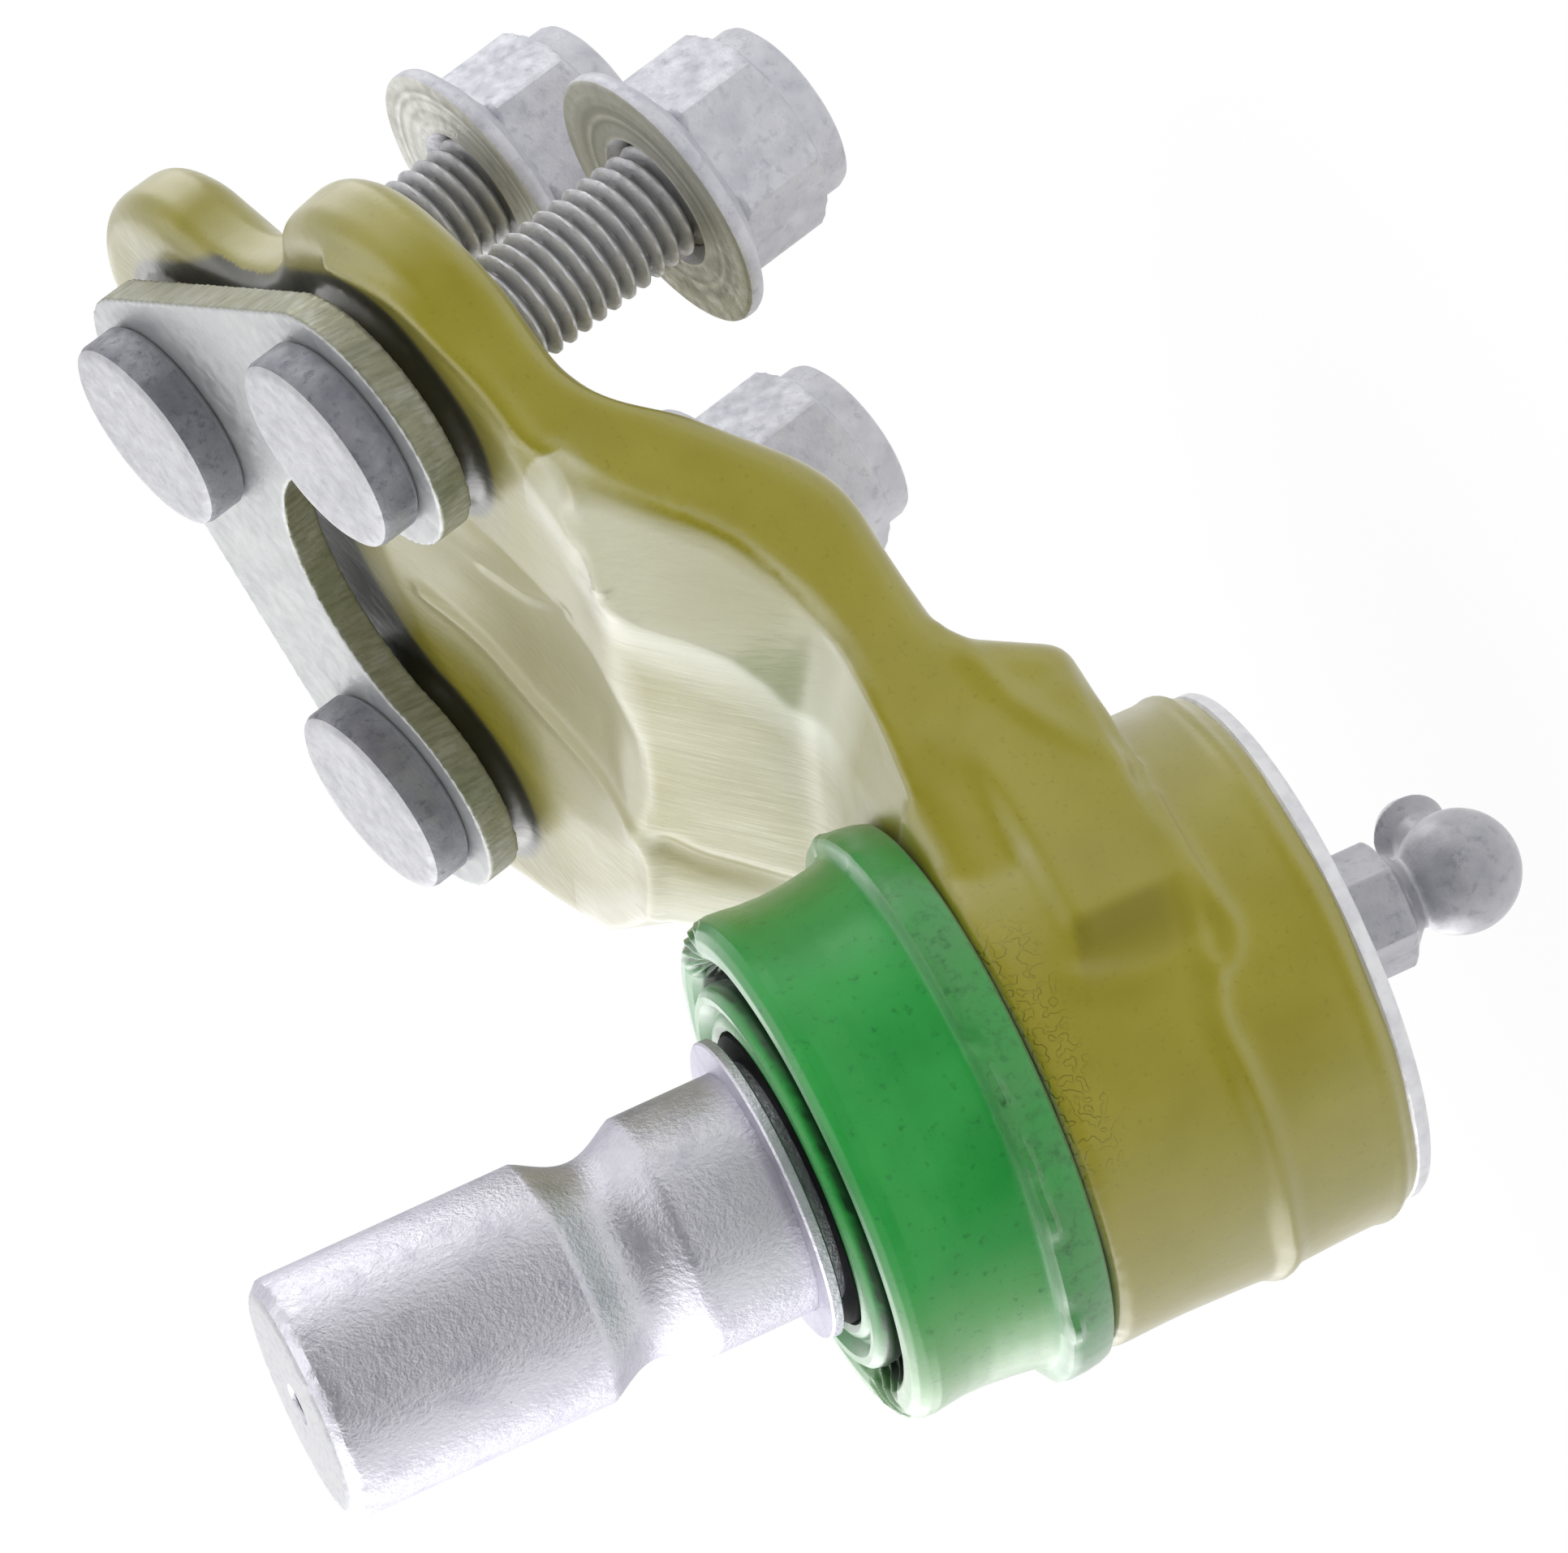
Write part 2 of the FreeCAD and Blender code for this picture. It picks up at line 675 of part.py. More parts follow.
keep("clamp_plate", clamp_plate())


# Bolts: a thin flat round head and a long threaded shank, drawn here as its outer cylinder.
def bolt(name):
    shank = size("shank_radius")
    edge = size("head_edge")
    rise = plate_top() + size("plate_gap")
    disc = size("head_disc")
    end = rise - size("bolt_length")
    chamfer = size("bolt_chamfer")
    body = spun("bolt_" + name, [
        (ZERO, end), (shank - chamfer, end), (shank, end + chamfer), (shank, rise), (disc, rise),
        (disc, rise + size("head_thick") - edge), (disc - edge, rise + size("head_thick")),
        (ZERO, rise + size("head_thick")),
    ])
    tilt(body, BOLTS[name][0], BOLTS[name][1], ZERO)
    return body


# Flange nuts, run far out on the threads: bearing disc, hexagon and a round locking collar.
def nut(name):
    face = size("nut_face_" + name)
    rim = face - size("nut_rim")
    cone = rim - size("nut_cone")
    hex_end = cone - size("nut_hex")
    end = hex_end - size("nut_cap_height")
    across = size("nut_across")
    cap = size("nut_cap")
    prism = chamfered_hexagon("nut_hex_" + name, across, cone - hex_end + size("nut_cone"), hex_end)
    disc = spun("nut_disc_" + name, [
        (ZERO, cone), (across * 0.5, cone),
        (size("nut_disc") - fixed(0.5), rim), (size("nut_disc"), rim + fixed(0.5)),
        (size("nut_disc"), face - fixed(0.3)), (size("nut_disc") - fixed(0.3), face), (ZERO, face),
    ])
    collar = spun("nut_collar_" + name, [
        (ZERO, end), (cap - fixed(0.8), end), (cap, end + fixed(0.8)), (cap, hex_end + fixed(0.5)),
        (ZERO, hex_end + fixed(0.5)),
    ])
    whole = boolean("MultiFuse", "nut_whole_" + name, prism, disc, collar)
    bore = size("shank_radius") + size("nut_gap")
    thread = spun("nut_thread_" + name, [
        (ZERO, end - fixed(1.0)), (bore, end - fixed(1.0)), (bore, face - size("nut_sink")),
        (bore + size("nut_sink"), face),
        (bore + size("nut_sink"), face + fixed(1.0)), (ZERO, face + fixed(1.0)),
    ])
    made = boolean("Cut", "nut_" + name, whole, thread)
    tilt(made, BOLTS[name][0], BOLTS[name][1], ZERO)
    return made


for bolt_name in BOLTS:
    keep("bolt_" + bolt_name, bolt(bolt_name))
    keep("nut_" + bolt_name, nut(bolt_name))


# Rubber boot with its clamp ring at the cup and its lip at the stud.
def dust_boot():
    low = size("cup_top") + size("boot_gap")
    wall = size("boot_wall")
    front = size("boot_front")
    bead = size("bead_radius")
    ring_out = size("ring_outer") + size("boot_gap")
    ring_top = size("ring_low") + size("ring_height") + size("boot_gap")
    turn = size("front_round")
    waist_height = (size("bead_top") + front) * 0.5
    lip = size("lip_outer") + size("boot_gap")
    return spun("dust_boot", [
        (ring_out, low), (bead - fixed(0.5), low),
        (bead, low + fixed(0.8)), (bead, size("bead_top") - fixed(1.2)),
        (size("boot_radius") + fixed(0.3), size("bead_top")), (size("boot_waist"), waist_height),
        (size("boot_radius"), front - turn * 1.6), (size("boot_radius") - turn, front), (lip, front),
        (lip, front - wall * 0.7), (size("boot_radius") - wall - turn, front - wall),
        (size("boot_waist") - wall, waist_height),
        (size("spigot_radius") + size("boot_gap") * 2.0, ring_top + fixed(0.5)),
        (size("spigot_radius") + size("boot_gap") * 2.0, ring_top), (ring_out, ring_top),
    ])


def clamp_ring():
    low = size("ring_low")
    top = low + size("ring_height")
    return spun("boot_clamp_ring", [
        (size("ring_inner"), low), (size("ring_outer"), low),
        (size("ring_outer"), top), (size("ring_inner"), top),
    ])


def lip_ring():
    """The moulded lip: a flat ring with a raised inner wall that wipes the stud's collar."""
    low = size("lip_low")
    top = size("lip_top")
    out = size("lip_outer")
    inner = size("lip_inner")
    step = fixed(0.9)
    return spun("boot_lip_ring", [
        (inner, low), (out - step, low), (out, low + step),
        (out, top - step), (out - step * 0.5, top - step * 0.5),
        (out - step * 2.0, top - step * 0.5), (out - step * 2.4, top), (inner, top),
    ])


def lip_insert():
    low = size("lip_low")
    inner = size("stud_radius") + size("insert_gap")
    outer = size("lip_inner") - size("insert_gap")
    return spun("boot_lip_insert", [
        (inner, low), (outer, low), (outer, size("insert_top")), (inner, size("insert_top")),
    ])


keep("dust_boot", dust_boot())
keep("boot_clamp_ring", clamp_ring())
keep("boot_lip_ring", lip_ring())
keep("boot_lip_insert", lip_insert())


# Ball stud: ball, slim neck, shoulder, and the plain stud with its pinch-bolt groove.
def ball_stud():
    radius = size("ball_radius")
    neck = size("neck_radius")
    shank = size("stud_radius")
    middle = size("groove_middle")
    half = size("groove_half")
    depth = size("groove_depth")
    groove = (square(half) + square(depth)) / (depth * 2.0)
    tip = size("stud_tip")
    chamfer = size("tip_chamfer")
    hole = size("centre_hole")
    leave = root(square(radius) - square(neck))
    return spun("ball_stud", [
        (ZERO, -radius, radius, True), (radius, ZERO, radius, True), (neck, leave), (neck, size("neck_top")),
        (shank, size("shoulder_top")), (shank, middle - half, groove, False),
        (shank - depth, middle, groove, False), (shank, middle + half), (shank, tip - chamfer),
        (shank - chamfer, tip), (hole, tip), (ZERO, tip - size("centre_depth")),
    ])


def stud_collar():
    inner = size("stud_radius") + size("bore_gap")
    low = size("collar_seat")
    top = low + size("collar_thick")
    outer = size("collar_radius")
    return spun("stud_collar", [
        (inner, low), (outer - fixed(0.3), low), (outer, low + fixed(0.3)), (outer, top - fixed(0.3)),
        (outer - fixed(0.3), top), (inner, top),
    ])


keep("ball_stud", ball_stud())
keep("stud_collar", stud_collar())

doc.recompute()


def check(name, thing):
    if {"Invalid", "Error"} & set(thing.State):
        raise RuntimeError(f"{name}: {thing.Label} failed: {thing.State}")
    shape = thing.Shape
    if shape.isNull() or not shape.isValid() or not shape.Solids:
        raise RuntimeError(f"{name}: no valid solid")


for thing in doc.Objects:
    if {"Invalid", "Error"} & set(thing.State):
        raise RuntimeError(f"{thing.Label} failed: {thing.State}")
for name, thing in NODES.items():
    check(name, thing)

os.makedirs("parts", exist_ok=True)
for name, thing in NODES.items():
    thing.Shape.exportStep(f"parts/{name}.step")
    print(f"{name}: {len(thing.Shape.Solids)} solid, {thing.Shape.Volume / 1000:.2f} cm3")
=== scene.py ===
import math

import bmesh
import bpy
import numpy as np
from mathutils import Matrix, Vector, noise
from mathutils.kdtree import KDTree


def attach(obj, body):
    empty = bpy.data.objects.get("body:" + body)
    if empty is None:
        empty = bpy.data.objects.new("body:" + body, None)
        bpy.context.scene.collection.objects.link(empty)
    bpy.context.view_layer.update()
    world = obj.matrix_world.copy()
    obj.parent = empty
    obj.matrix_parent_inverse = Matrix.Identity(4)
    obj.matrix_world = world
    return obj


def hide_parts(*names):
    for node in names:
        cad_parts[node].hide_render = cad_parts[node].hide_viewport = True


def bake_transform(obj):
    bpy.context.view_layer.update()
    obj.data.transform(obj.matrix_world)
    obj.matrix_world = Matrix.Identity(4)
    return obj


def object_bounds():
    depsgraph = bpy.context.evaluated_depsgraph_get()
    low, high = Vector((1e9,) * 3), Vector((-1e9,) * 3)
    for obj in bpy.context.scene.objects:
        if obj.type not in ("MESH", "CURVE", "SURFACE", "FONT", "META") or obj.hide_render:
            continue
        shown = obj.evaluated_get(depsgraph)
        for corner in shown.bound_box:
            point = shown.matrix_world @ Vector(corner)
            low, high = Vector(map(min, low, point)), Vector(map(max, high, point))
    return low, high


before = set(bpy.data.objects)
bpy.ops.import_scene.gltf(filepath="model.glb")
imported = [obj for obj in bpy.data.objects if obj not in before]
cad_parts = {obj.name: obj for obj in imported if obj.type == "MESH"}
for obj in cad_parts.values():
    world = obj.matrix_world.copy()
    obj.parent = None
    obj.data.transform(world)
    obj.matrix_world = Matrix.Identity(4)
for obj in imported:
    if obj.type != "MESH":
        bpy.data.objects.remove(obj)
cad_box = [list(corner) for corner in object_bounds()]
MM = 0.001


# Studio: the joint hangs in a white light tent, seen from the stud's side with a long lens.
# Large soft boxes stand above, beside and behind it, and a pale floor lies under the nuts.
def placed(name, data):
    """A new object in the scene that holds the given mesh, lamp or camera."""
    thing = bpy.data.objects.new(name, data)
    bpy.context.scene.collection.objects.link(thing)
    return thing


eye = bpy.data.cameras.new("long_lens")
eye.lens = 227.2
eye.sensor_width = 36.0
eye.sensor_fit = "HORIZONTAL"
eye.clip_start = 0.05
eye.clip_end = 10.0
camera = placed("camera", eye)
right = Vector((-0.44262, 0.04474, -0.89559))
up = Vector((0.76544, -0.50142, -0.40335))
back = Vector((-0.46711, -0.86405, 0.18769))
turn = Matrix((right, up, back)).transposed()
camera.matrix_world = Matrix.Translation(Vector((-0.331926, -0.673688, 0.158388))) @ turn.to_4x4()
bpy.context.scene.camera = camera
bpy.context.scene.view_settings.view_transform = "Standard"
joint_middle = Vector((0.035, 0.0, 0.015))


def soft_box(name, way, far, width, watts, mirrored=True, matt=True):
    """An area lamp that looks at the joint; way is in the photograph's right, up and back."""
    lamp = bpy.data.lights.new(name, "AREA")
    lamp.shape = "SQUARE"
    lamp.size = width
    lamp.energy = watts
    box = placed(name, lamp)
    heading = (right * way[0] + up * way[1] + back * way[2]).normalized()
    box.location = joint_middle + heading * far
    box.rotation_mode = "QUATERNION"
    box.rotation_quaternion = heading.to_track_quat("Z", "Y")
    box.visible_camera = False
    box.visible_glossy = mirrored
    box.visible_diffuse = matt


soft_box("box_over", (-0.2, 1.0, -0.2), 0.8, 0.8, 1.3)
soft_box("box_left", (-1.0, -0.1, 0.1), 0.7, 0.5, 0.6)
soft_box("box_under", (-0.2, -0.85, -0.5), 0.7, 0.8, 1.7)
soft_box("box_behind", (0.6, -0.5, -0.65), 0.7, 0.5, 0.8)
soft_box("box_front", (0.1, 0.2, 1.0), 0.9, 0.9, 3.7, mirrored=False)
soft_box("gleam_over", (-0.1, 0.95, -0.5), 0.8, 0.8, 2.0, matt=False)
soft_box("gleam_under", (0.0, -0.85, -0.5), 0.7, 0.8, 1.4, matt=False)
soft_box("gleam_low", (-0.4, -0.85, 0.1), 0.7, 0.45, 0.8, matt=False)
soft_box("gleam_behind", (-0.45, -0.4, -0.8), 0.7, 0.6, 0.8, matt=False)


def wired(tree, kind, feeds=None, values=None, operation=None):
    """Adds a shader node; feeds name the sources of its inputs, values their plain values."""
    node = tree.nodes.new(kind)
    if operation is not None:
        node.operation = operation
    for socket, value in (values or {}).items():
        node.inputs[socket].default_value = value
    for socket, source in (feeds or {}).items():
        tree.links.new(source, node.inputs[socket])
    return node


def blank(name):
    """A material without any nodes."""
    material = bpy.data.materials.new(name)
    material.use_nodes = True
    material.node_tree.nodes.clear()
    return material


# a grey card behind the camera, seen only in reflections, keeps the faces in front deep in colour
quarters = ((-1, -1), (1, -1), (1, 1), (-1, 1))
card_reach, card_far = 0.5, 0.5
card_way = (back + up * 0.02).normalized()
card_middle = joint_middle + card_way * card_far
lean = card_way.cross(right)
card_mesh = bpy.data.meshes.new("grey_card")
card_mesh.from_pydata([card_middle + right * a * card_reach + lean * b * card_reach
                       for a, b in quarters], [], [(0, 1, 2, 3)])
card = placed("grey_card", card_mesh)
for sight in ("visible_camera", "visible_diffuse", "visible_shadow", "visible_transmission"):
    setattr(card, sight, False)
felt = blank("grey_felt")
felt_glow = wired(felt.node_tree, "ShaderNodeEmission", values={"Strength": 0.12})
wired(felt.node_tree, "ShaderNodeOutputMaterial", {"Surface": felt_glow.outputs[0]})
card_mesh.materials.append(felt)

world = bpy.data.worlds.new("light_tent")
bpy.context.scene.world = world
world.use_nodes = True
tent = world.node_tree
tent.nodes.clear()
rays = wired(tent, "ShaderNodeLightPath")
seen = wired(tent, "ShaderNodeMath", {0: rays.outputs["Is Camera Ray"], 1: rays.outputs["Is Glossy Ray"]},
             operation="MAXIMUM")
clear = wired(tent, "ShaderNodeMath", {0: seen.outputs[0], 1: rays.outputs["Is Transmission Ray"]},
              operation="MAXIMUM")
ambient = wired(tent, "ShaderNodeBackground", values={"Color": (0.96, 0.97, 1.0, 1.0), "Strength": 0.4})
white = wired(tent, "ShaderNodeBackground", values={"Color": (1.0, 1.0, 1.0, 1.0), "Strength": 1.0})
either = wired(tent, "ShaderNodeMixShader",
               {0: clear.outputs[0], 1: ambient.outputs[0], 2: white.outputs[0]})
wired(tent, "ShaderNodeOutputWorld", {"Surface": either.outputs[0]})

floor_reach, floor_gap = 0.35, 0.0006
floor_level = cad_box[0][2] - floor_gap
floor_mesh = bpy.data.meshes.new("floor")
floor_mesh.from_pydata([(a * floor_reach, b * floor_reach, floor_level) for a, b in quarters],
                       [], [(0, 1, 2, 3)])
floor = placed("floor", floor_mesh)
floor.visible_shadow = False
paper = blank("paper")
sheet = paper.node_tree
matt = wired(sheet, "ShaderNodeBsdfDiffuse", values={"Color": (0.86, 0.86, 0.86, 1.0)})
glow = wired(sheet, "ShaderNodeEmission", values={"Strength": 1.0})
way_in = wired(sheet, "ShaderNodeLightPath")
looked = wired(sheet, "ShaderNodeMath",
               {0: way_in.outputs["Is Camera Ray"], 1: way_in.outputs["Is Glossy Ray"]},
               operation="MAXIMUM")
# the shadow stays near the joint and the paper fades to white further out
place = wired(sheet, "ShaderNodeTexCoord")
length = wired(sheet, "ShaderNodeVectorMath", {0: place.outputs["Object"]}, operation="LENGTH")
fade = wired(sheet, "ShaderNodeMapRange", {"Value": length.outputs["Value"]},
             {"From Min": 0.03, "From Max": 0.08, "To Min": 0.95, "To Max": 1.0})
share = wired(sheet, "ShaderNodeMath", {0: looked.outputs[0], 1: fade.outputs[0]}, operation="MULTIPLY")
blended = wired(sheet, "ShaderNodeMixShader",
                {0: share.outputs[0], 1: matt.outputs[0], 2: glow.outputs[0]})
wired(sheet, "ShaderNodeOutputMaterial", {"Surface": blended.outputs[0]})
floor_mesh.materials.append(paper)


# Forging: ball cup, arm and three-lug flange in one piece of drop-forged steel. The skin keeps
# the die's ridges and flash line, the bolt pads are milled, and the whole is dipped in olive paint.
class Finish:
    """A node tree for one surface finish, laid out over the Principled shader."""

    def __init__(self, name, colour, rough, metal=0.0):
        self.material = bpy.data.materials.new(name)
        self.material.use_nodes = True
        self.tree = self.material.node_tree
        self.shader = self.tree.nodes["Principled BSDF"]
        self.set({"Base Color": (*colour, 1.0), "Roughness": rough, "Metallic": metal})
        self.where = self.tree.nodes.new("ShaderNodeTexCoord").outputs["Object"]
        self.bumps = None

    def set(self, values):
        """Plain values for the shader's own inputs, by name."""
        for socket, value in values.items():
            self.shader.inputs[socket].default_value = value

    def join(self, source, target):
        self.tree.links.new(source, target)

    def speckle(self, grain, detail=3.0, low=0.35, high=0.65, along=None, rough=0.55):
        """Noise with a grain in millimetres, spread to the whole of 0 to 1."""
        fine = wired(self.tree, "ShaderNodeTexNoise", {"Vector": self.where if along is None else along},
                     {"Scale": 1000.0 / grain, "Detail": detail, "Roughness": rough})
        return self.spread(fine.outputs["Fac"], low, high, 0.0, 1.0)

    def spread(self, source, low, high, first, last):
        """Maps low to high onto first to last."""
        ends = {"From Min": low, "From Max": high, "To Min": first, "To Max": last}
        return wired(self.tree, "ShaderNodeMapRange", {"Value": source}, ends).outputs[0]

    def times(self, first, second):
        return wired(self.tree, "ShaderNodeMath", {0: first, 1: second}, operation="MULTIPLY").outputs[0]

    def tint(self, mask, colour):
        """Lays a colour over the base where the mask is 1."""
        mix = self.tree.nodes.new("ShaderNodeMix")
        mix.data_type = "RGBA"
        base = self.shader.inputs["Base Color"]
        if base.is_linked:
            self.join(base.links[0].from_socket, mix.inputs["A"])
        else:
            mix.inputs["A"].default_value = base.default_value
        mix.inputs["B"].default_value = (*colour, 1.0)
        self.join(mask, mix.inputs["Factor"])
        self.join(mix.outputs["Result"], base)

    def painted(self, name):
        """A mask stored in the mesh, point by point."""
        layer = self.tree.nodes.new("ShaderNodeAttribute")
        layer.attribute_name = name
        return layer.outputs["Fac"]

    def grazing(self, low, high, first, last):
        """Lets the clear coat grow from faces seen square on to faces seen at a slant."""
        slant = wired(self.tree, "ShaderNodeLayerWeight", values={"Blend": 0.5}).outputs["Facing"]
        self.join(self.spread(slant, low, high, first, last), self.shader.inputs["Coat Weight"])

    def gloss(self, mask, first, last):
        """Roughness that runs with a mask from first to last."""
        self.join(self.spread(mask, 0.0, 1.0, first, last), self.shader.inputs["Roughness"])

    def relief(self, mask, depth):
        """Bump of a depth in millimetres, stacked on what is there already."""
        bump = wired(self.tree, "ShaderNodeBump", {"Height": mask}, {"Strength": 1.0, "Distance": depth * MM})
        if self.bumps is not None:
            self.join(self.bumps, bump.inputs["Normal"])
        self.bumps = bump.outputs[0]
        self.join(self.bumps, self.shader.inputs["Normal"])


olive = Finish("olive_paint", (0.30, 0.262, 0.012), 0.4)
olive.tint(olive.speckle(9.0, 2.0), (0.34, 0.30, 0.022))
olive.tint(olive.speckle(0.5, 4.0, 0.6, 0.8), (0.25, 0.21, 0.01))
# painted sheen: pale cream over the olive where the facets and flange face would reflect the tent
olive.tint(olive.painted("painted_sheen"), (0.82, 0.80, 0.60))
# painted shade behind the flat pad's step
olive.tint(olive.painted("shade"), (0.19, 0.162, 0.005))
# painted shadow: near black olive under the clamp plate's overhanging rim
olive.tint(olive.painted("under"), (0.03, 0.028, 0.012))
olive.gloss(olive.speckle(3.0), 0.36, 0.5)
olive.relief(olive.speckle(0.55, 3.0, 0.3, 0.7), 0.02)
olive.relief(olive.speckle(4.0, 2.0, 0.3, 0.7), 0.06)
# marks of the die's grinding run down the slope, and thick paint is wrinkled beside the boot
down = wired(olive.tree, "ShaderNodeMapping", {"Vector": olive.where},
             {"Rotation": (0.0, -math.radians(46.0), 0.0), "Scale": (9.0, 1.0, 1.0)})
down.vector_type = "TEXTURE"
ground = olive.speckle(0.9, 2.0, 0.3, 0.7, down.outputs[0])
olive.relief(olive.times(olive.painted("slope"), ground), 0.1)
curls = olive.speckle(0.9, 1.0, 0.44, 0.5)
olive.relief(olive.times(olive.painted("wrinkled"), curls), 0.12)
olive.grazing(0.02, 0.22, 0.3, 1.0)
olive.set({"Specular IOR Level": 0.1, "Coat Roughness": 0.32, "Coat IOR": 1.8, "Sheen Weight": 0.12,
           "Sheen Roughness": 0.4, "Sheen Tint": (1.0, 0.99, 0.9, 1.0)})

milled = Finish("milled_steel", (0.42, 0.42, 0.44), 0.38, 0.85)
milled.tint(milled.speckle(0.5, 3.0), (0.30, 0.30, 0.31))
milled.relief(milled.speckle(0.3, 2.0), 0.01)


def recast(node, name, grain, rounds):
    """A fine even skin over a CAD solid, with its edges softened by a few rounds of smoothing."""
    return even_skin(placed(name, bpy.data.objects[node].data.copy()), grain, rounds)


def even_skin(piece, grain, rounds):
    """Remeshes a shaped piece so that its faces are even again."""
    voxels = piece.modifiers.new("voxels", "REMESH")
    voxels.mode = "VOXEL"
    voxels.voxel_size = grain * MM
    soften = piece.modifiers.new("soften", "SMOOTH")
    soften.factor = 0.5
    soften.iterations = rounds
    depsgraph = bpy.context.evaluated_depsgraph_get()
    fine = bpy.data.meshes.new_from_object(piece.evaluated_get(depsgraph))
    piece.modifiers.clear()
    piece.data = fine
    fine.materials.clear()
    fine.polygons.foreach_set("use_smooth", [True] * len(fine.polygons))
    return piece


def vectors_of(mesh, kind):
    """What the mesh's points hold under a name, such as co or normal, one to a row."""
    flat = np.empty(len(mesh.vertices) * 3)
    mesh.vertices.foreach_get(kind, flat)
    return flat.reshape(-1, 3)


def points_of(mesh):
    """The mesh's points in millimetres, one to a row."""
    return vectors_of(mesh, "co") / MM


def set_points(mesh, points):
    mesh.vertices.foreach_set("co", (points * MM).ravel())
    mesh.update()


def ramp(values, start, end):
    """0 up to the start and 1 from the end on; the end may be the lower of the two."""
    return np.clip((values - start) / (end - start), 0.0, 1.0)


def from_line(points, line):
    """Distance in millimetres from each point to a line through the given corners."""
    nearest = np.full(len(points), 1e9)
    for start, end in zip(line[:-1], line[1:]):
        a, b = np.array(start), np.array(end)
        way = b - a
        part = np.clip(((points - a) @ way) / (way @ way), 0.0, 1.0)
        nearest = np.minimum(nearest, np.linalg.norm(points - a - part[:, None] * way, axis=1))
    return nearest


def rounded_line(corners, steps=6):
    """A Catmull-Rom curve through the corners, so that ridges flow."""
    ends = [corners[0]] + list(corners) + [corners[-1]]
    line = []
    for before, start, end, after in zip(ends, ends[1:], ends[2:], ends[3:]):
        p0, p1, p2, p3 = (np.array(corner) for corner in (before, start, end, after))
        for step in range(steps):
            t = step / steps
            line.append(0.5 * (2 * p1 + (p2 - p0) * t + (2 * p0 - 5 * p1 + 4 * p2 - p3) * t * t
                               + (3 * p1 - p0 - 3 * p2 + p3) * t ** 3))
    line.append(np.array(corners[-1], dtype=float))
    return line


tilt = math.radians(14.6)
along = np.array((math.cos(tilt), 0.0, math.sin(tilt)))
height = np.array((-math.sin(tilt), 0.0, math.cos(tilt)))
bolt_places = {"a": (93.0, 0.0), "b": (67.8, -26.8), "c": (67.8, 26.8)}
flange_top, flange_middle, pad_radius = 12.5, 75.0, 12.5
flange_thinned, rims_thinned, lug_b_drawn_in, plate_lift = 2.2, 1.4, 1.3, 1.0

forging = recast("forged_housing", "forging", 0.5, 2)
skin = points_of(forging.data)
x, y, z = skin.T
# the lugs thin towards their rims on the nuts' side
reach_out, level = skin @ along, skin @ height
thinner = flange_thinned * ramp(reach_out, 42.0, 56.0)
for u, v in bolt_places.values():
    off = np.hypot(reach_out - u, y - v)
    outward = (reach_out - flange_middle) * (u - flange_middle) + y * v > 0
    thinner += outward * rims_thinned * ramp(off, 8.0, 16.0) * ramp(off, 20.0, 17.0)
below = ramp(level, flange_top, flange_top - 12.0)
skin += height * (thinner * below)[:, None]
# the milled pads reach up to the plate, whose rim overhangs them
stands = np.maximum(level - (flange_top - 0.05), 0.0)
lifted = stands + plate_lift * ramp(level, flange_top + 0.1, flange_top + 0.6)
for u, v in bolt_places.values():
    off = np.hypot(reach_out - u, y - v)
    skin += height * ((lifted * ramp(off, 10.2, 9.0) - stands) * (off < pad_radius))[:, None]
skin[:, 1] -= lug_b_drawn_in * ramp(reach_out, 52.0, 62.0) * ramp(y, -20.0, -32.0) * below
# the arm's side runs on over the cup as a flat pad that ends in a step
side, cup_radius, flat_side = np.abs(y), 20.5, 23.2
pad = ramp(z, -7.3, -6.1) * ramp(z, 4.4, 2.8) * ramp(x, 20.0, 17.0) * ramp(x, -4.6, -1.6)
pad *= np.hypot(x, side) > cup_radius
skin[:, 1] += np.sign(y) * pad * np.maximum(flat_side - side, 0.0)
# the die's draft: facets fall from the crest of the slope to the parting edge on both sides
place_x = [12, 15, 21, 24, 27, 28.7, 30, 32, 34.5, 37, 39, 41.3, 44, 46.6, 48]
inner_y = [17.4, 17.4, 17, 16.1, 17.5, 18.5, 21.2, 23.4, 24.6, 25.2, 25.6, 29.5, 33.5, 36, 38]
inner_z = [10.5, 10.3, 10.3, 10.3, 10.9, 11.9, 13.3, 15.6, 18.5, 21.3, 22.8, 23.0, 23.2, 23.4, 30]
outer_y = [22.3, 22.6, 23.5, 24.1, 24.6, 25.3, 25.9, 26.7, 28.1, 29.4, 30.6, 32.3, 34.2, 36.5, 38.5]
outer_z = [9.6, 8.9, 8.5, 8.4, 8.4, 8.8, 9.1, 9.7, 11.3, 13.2, 15.5, 18.2, 21.0, 23.2, 30]
side = np.abs(y)
inward = 1.2 * ramp(x, 40.0, 37.0)
far_in, far_out = np.interp(x, place_x, inner_y) - inward, np.interp(x, place_x, outer_y)
top_in = np.interp(x - 0.5 * inward, place_x, inner_z) - 0.2 * inward
top_out = np.interp(x, place_x, outer_z)
drafted = top_out + (top_in - top_out) * (far_out - side) / (far_out - far_in)
draft_start, draft_end, draft_side, draft_deep = 14.0, 47.5, 14.0, 4.0
on_facets = (x > draft_start) & (x < draft_end) & (side > draft_side)
skin[:, 2] = np.where(on_facets, np.minimum(z, np.maximum(drafted, top_out - draft_deep)), z)
# the rim of the cup is rolled over the cover's edge and stops short of its face
rim_radius, rim_level = 15.0, -15.9
rim = (np.hypot(x, y) > rim_radius) & (x < 24.0)
skin[:, 2] = np.where(rim, np.maximum(z, rim_level), z)
set_points(forging.data, skin)

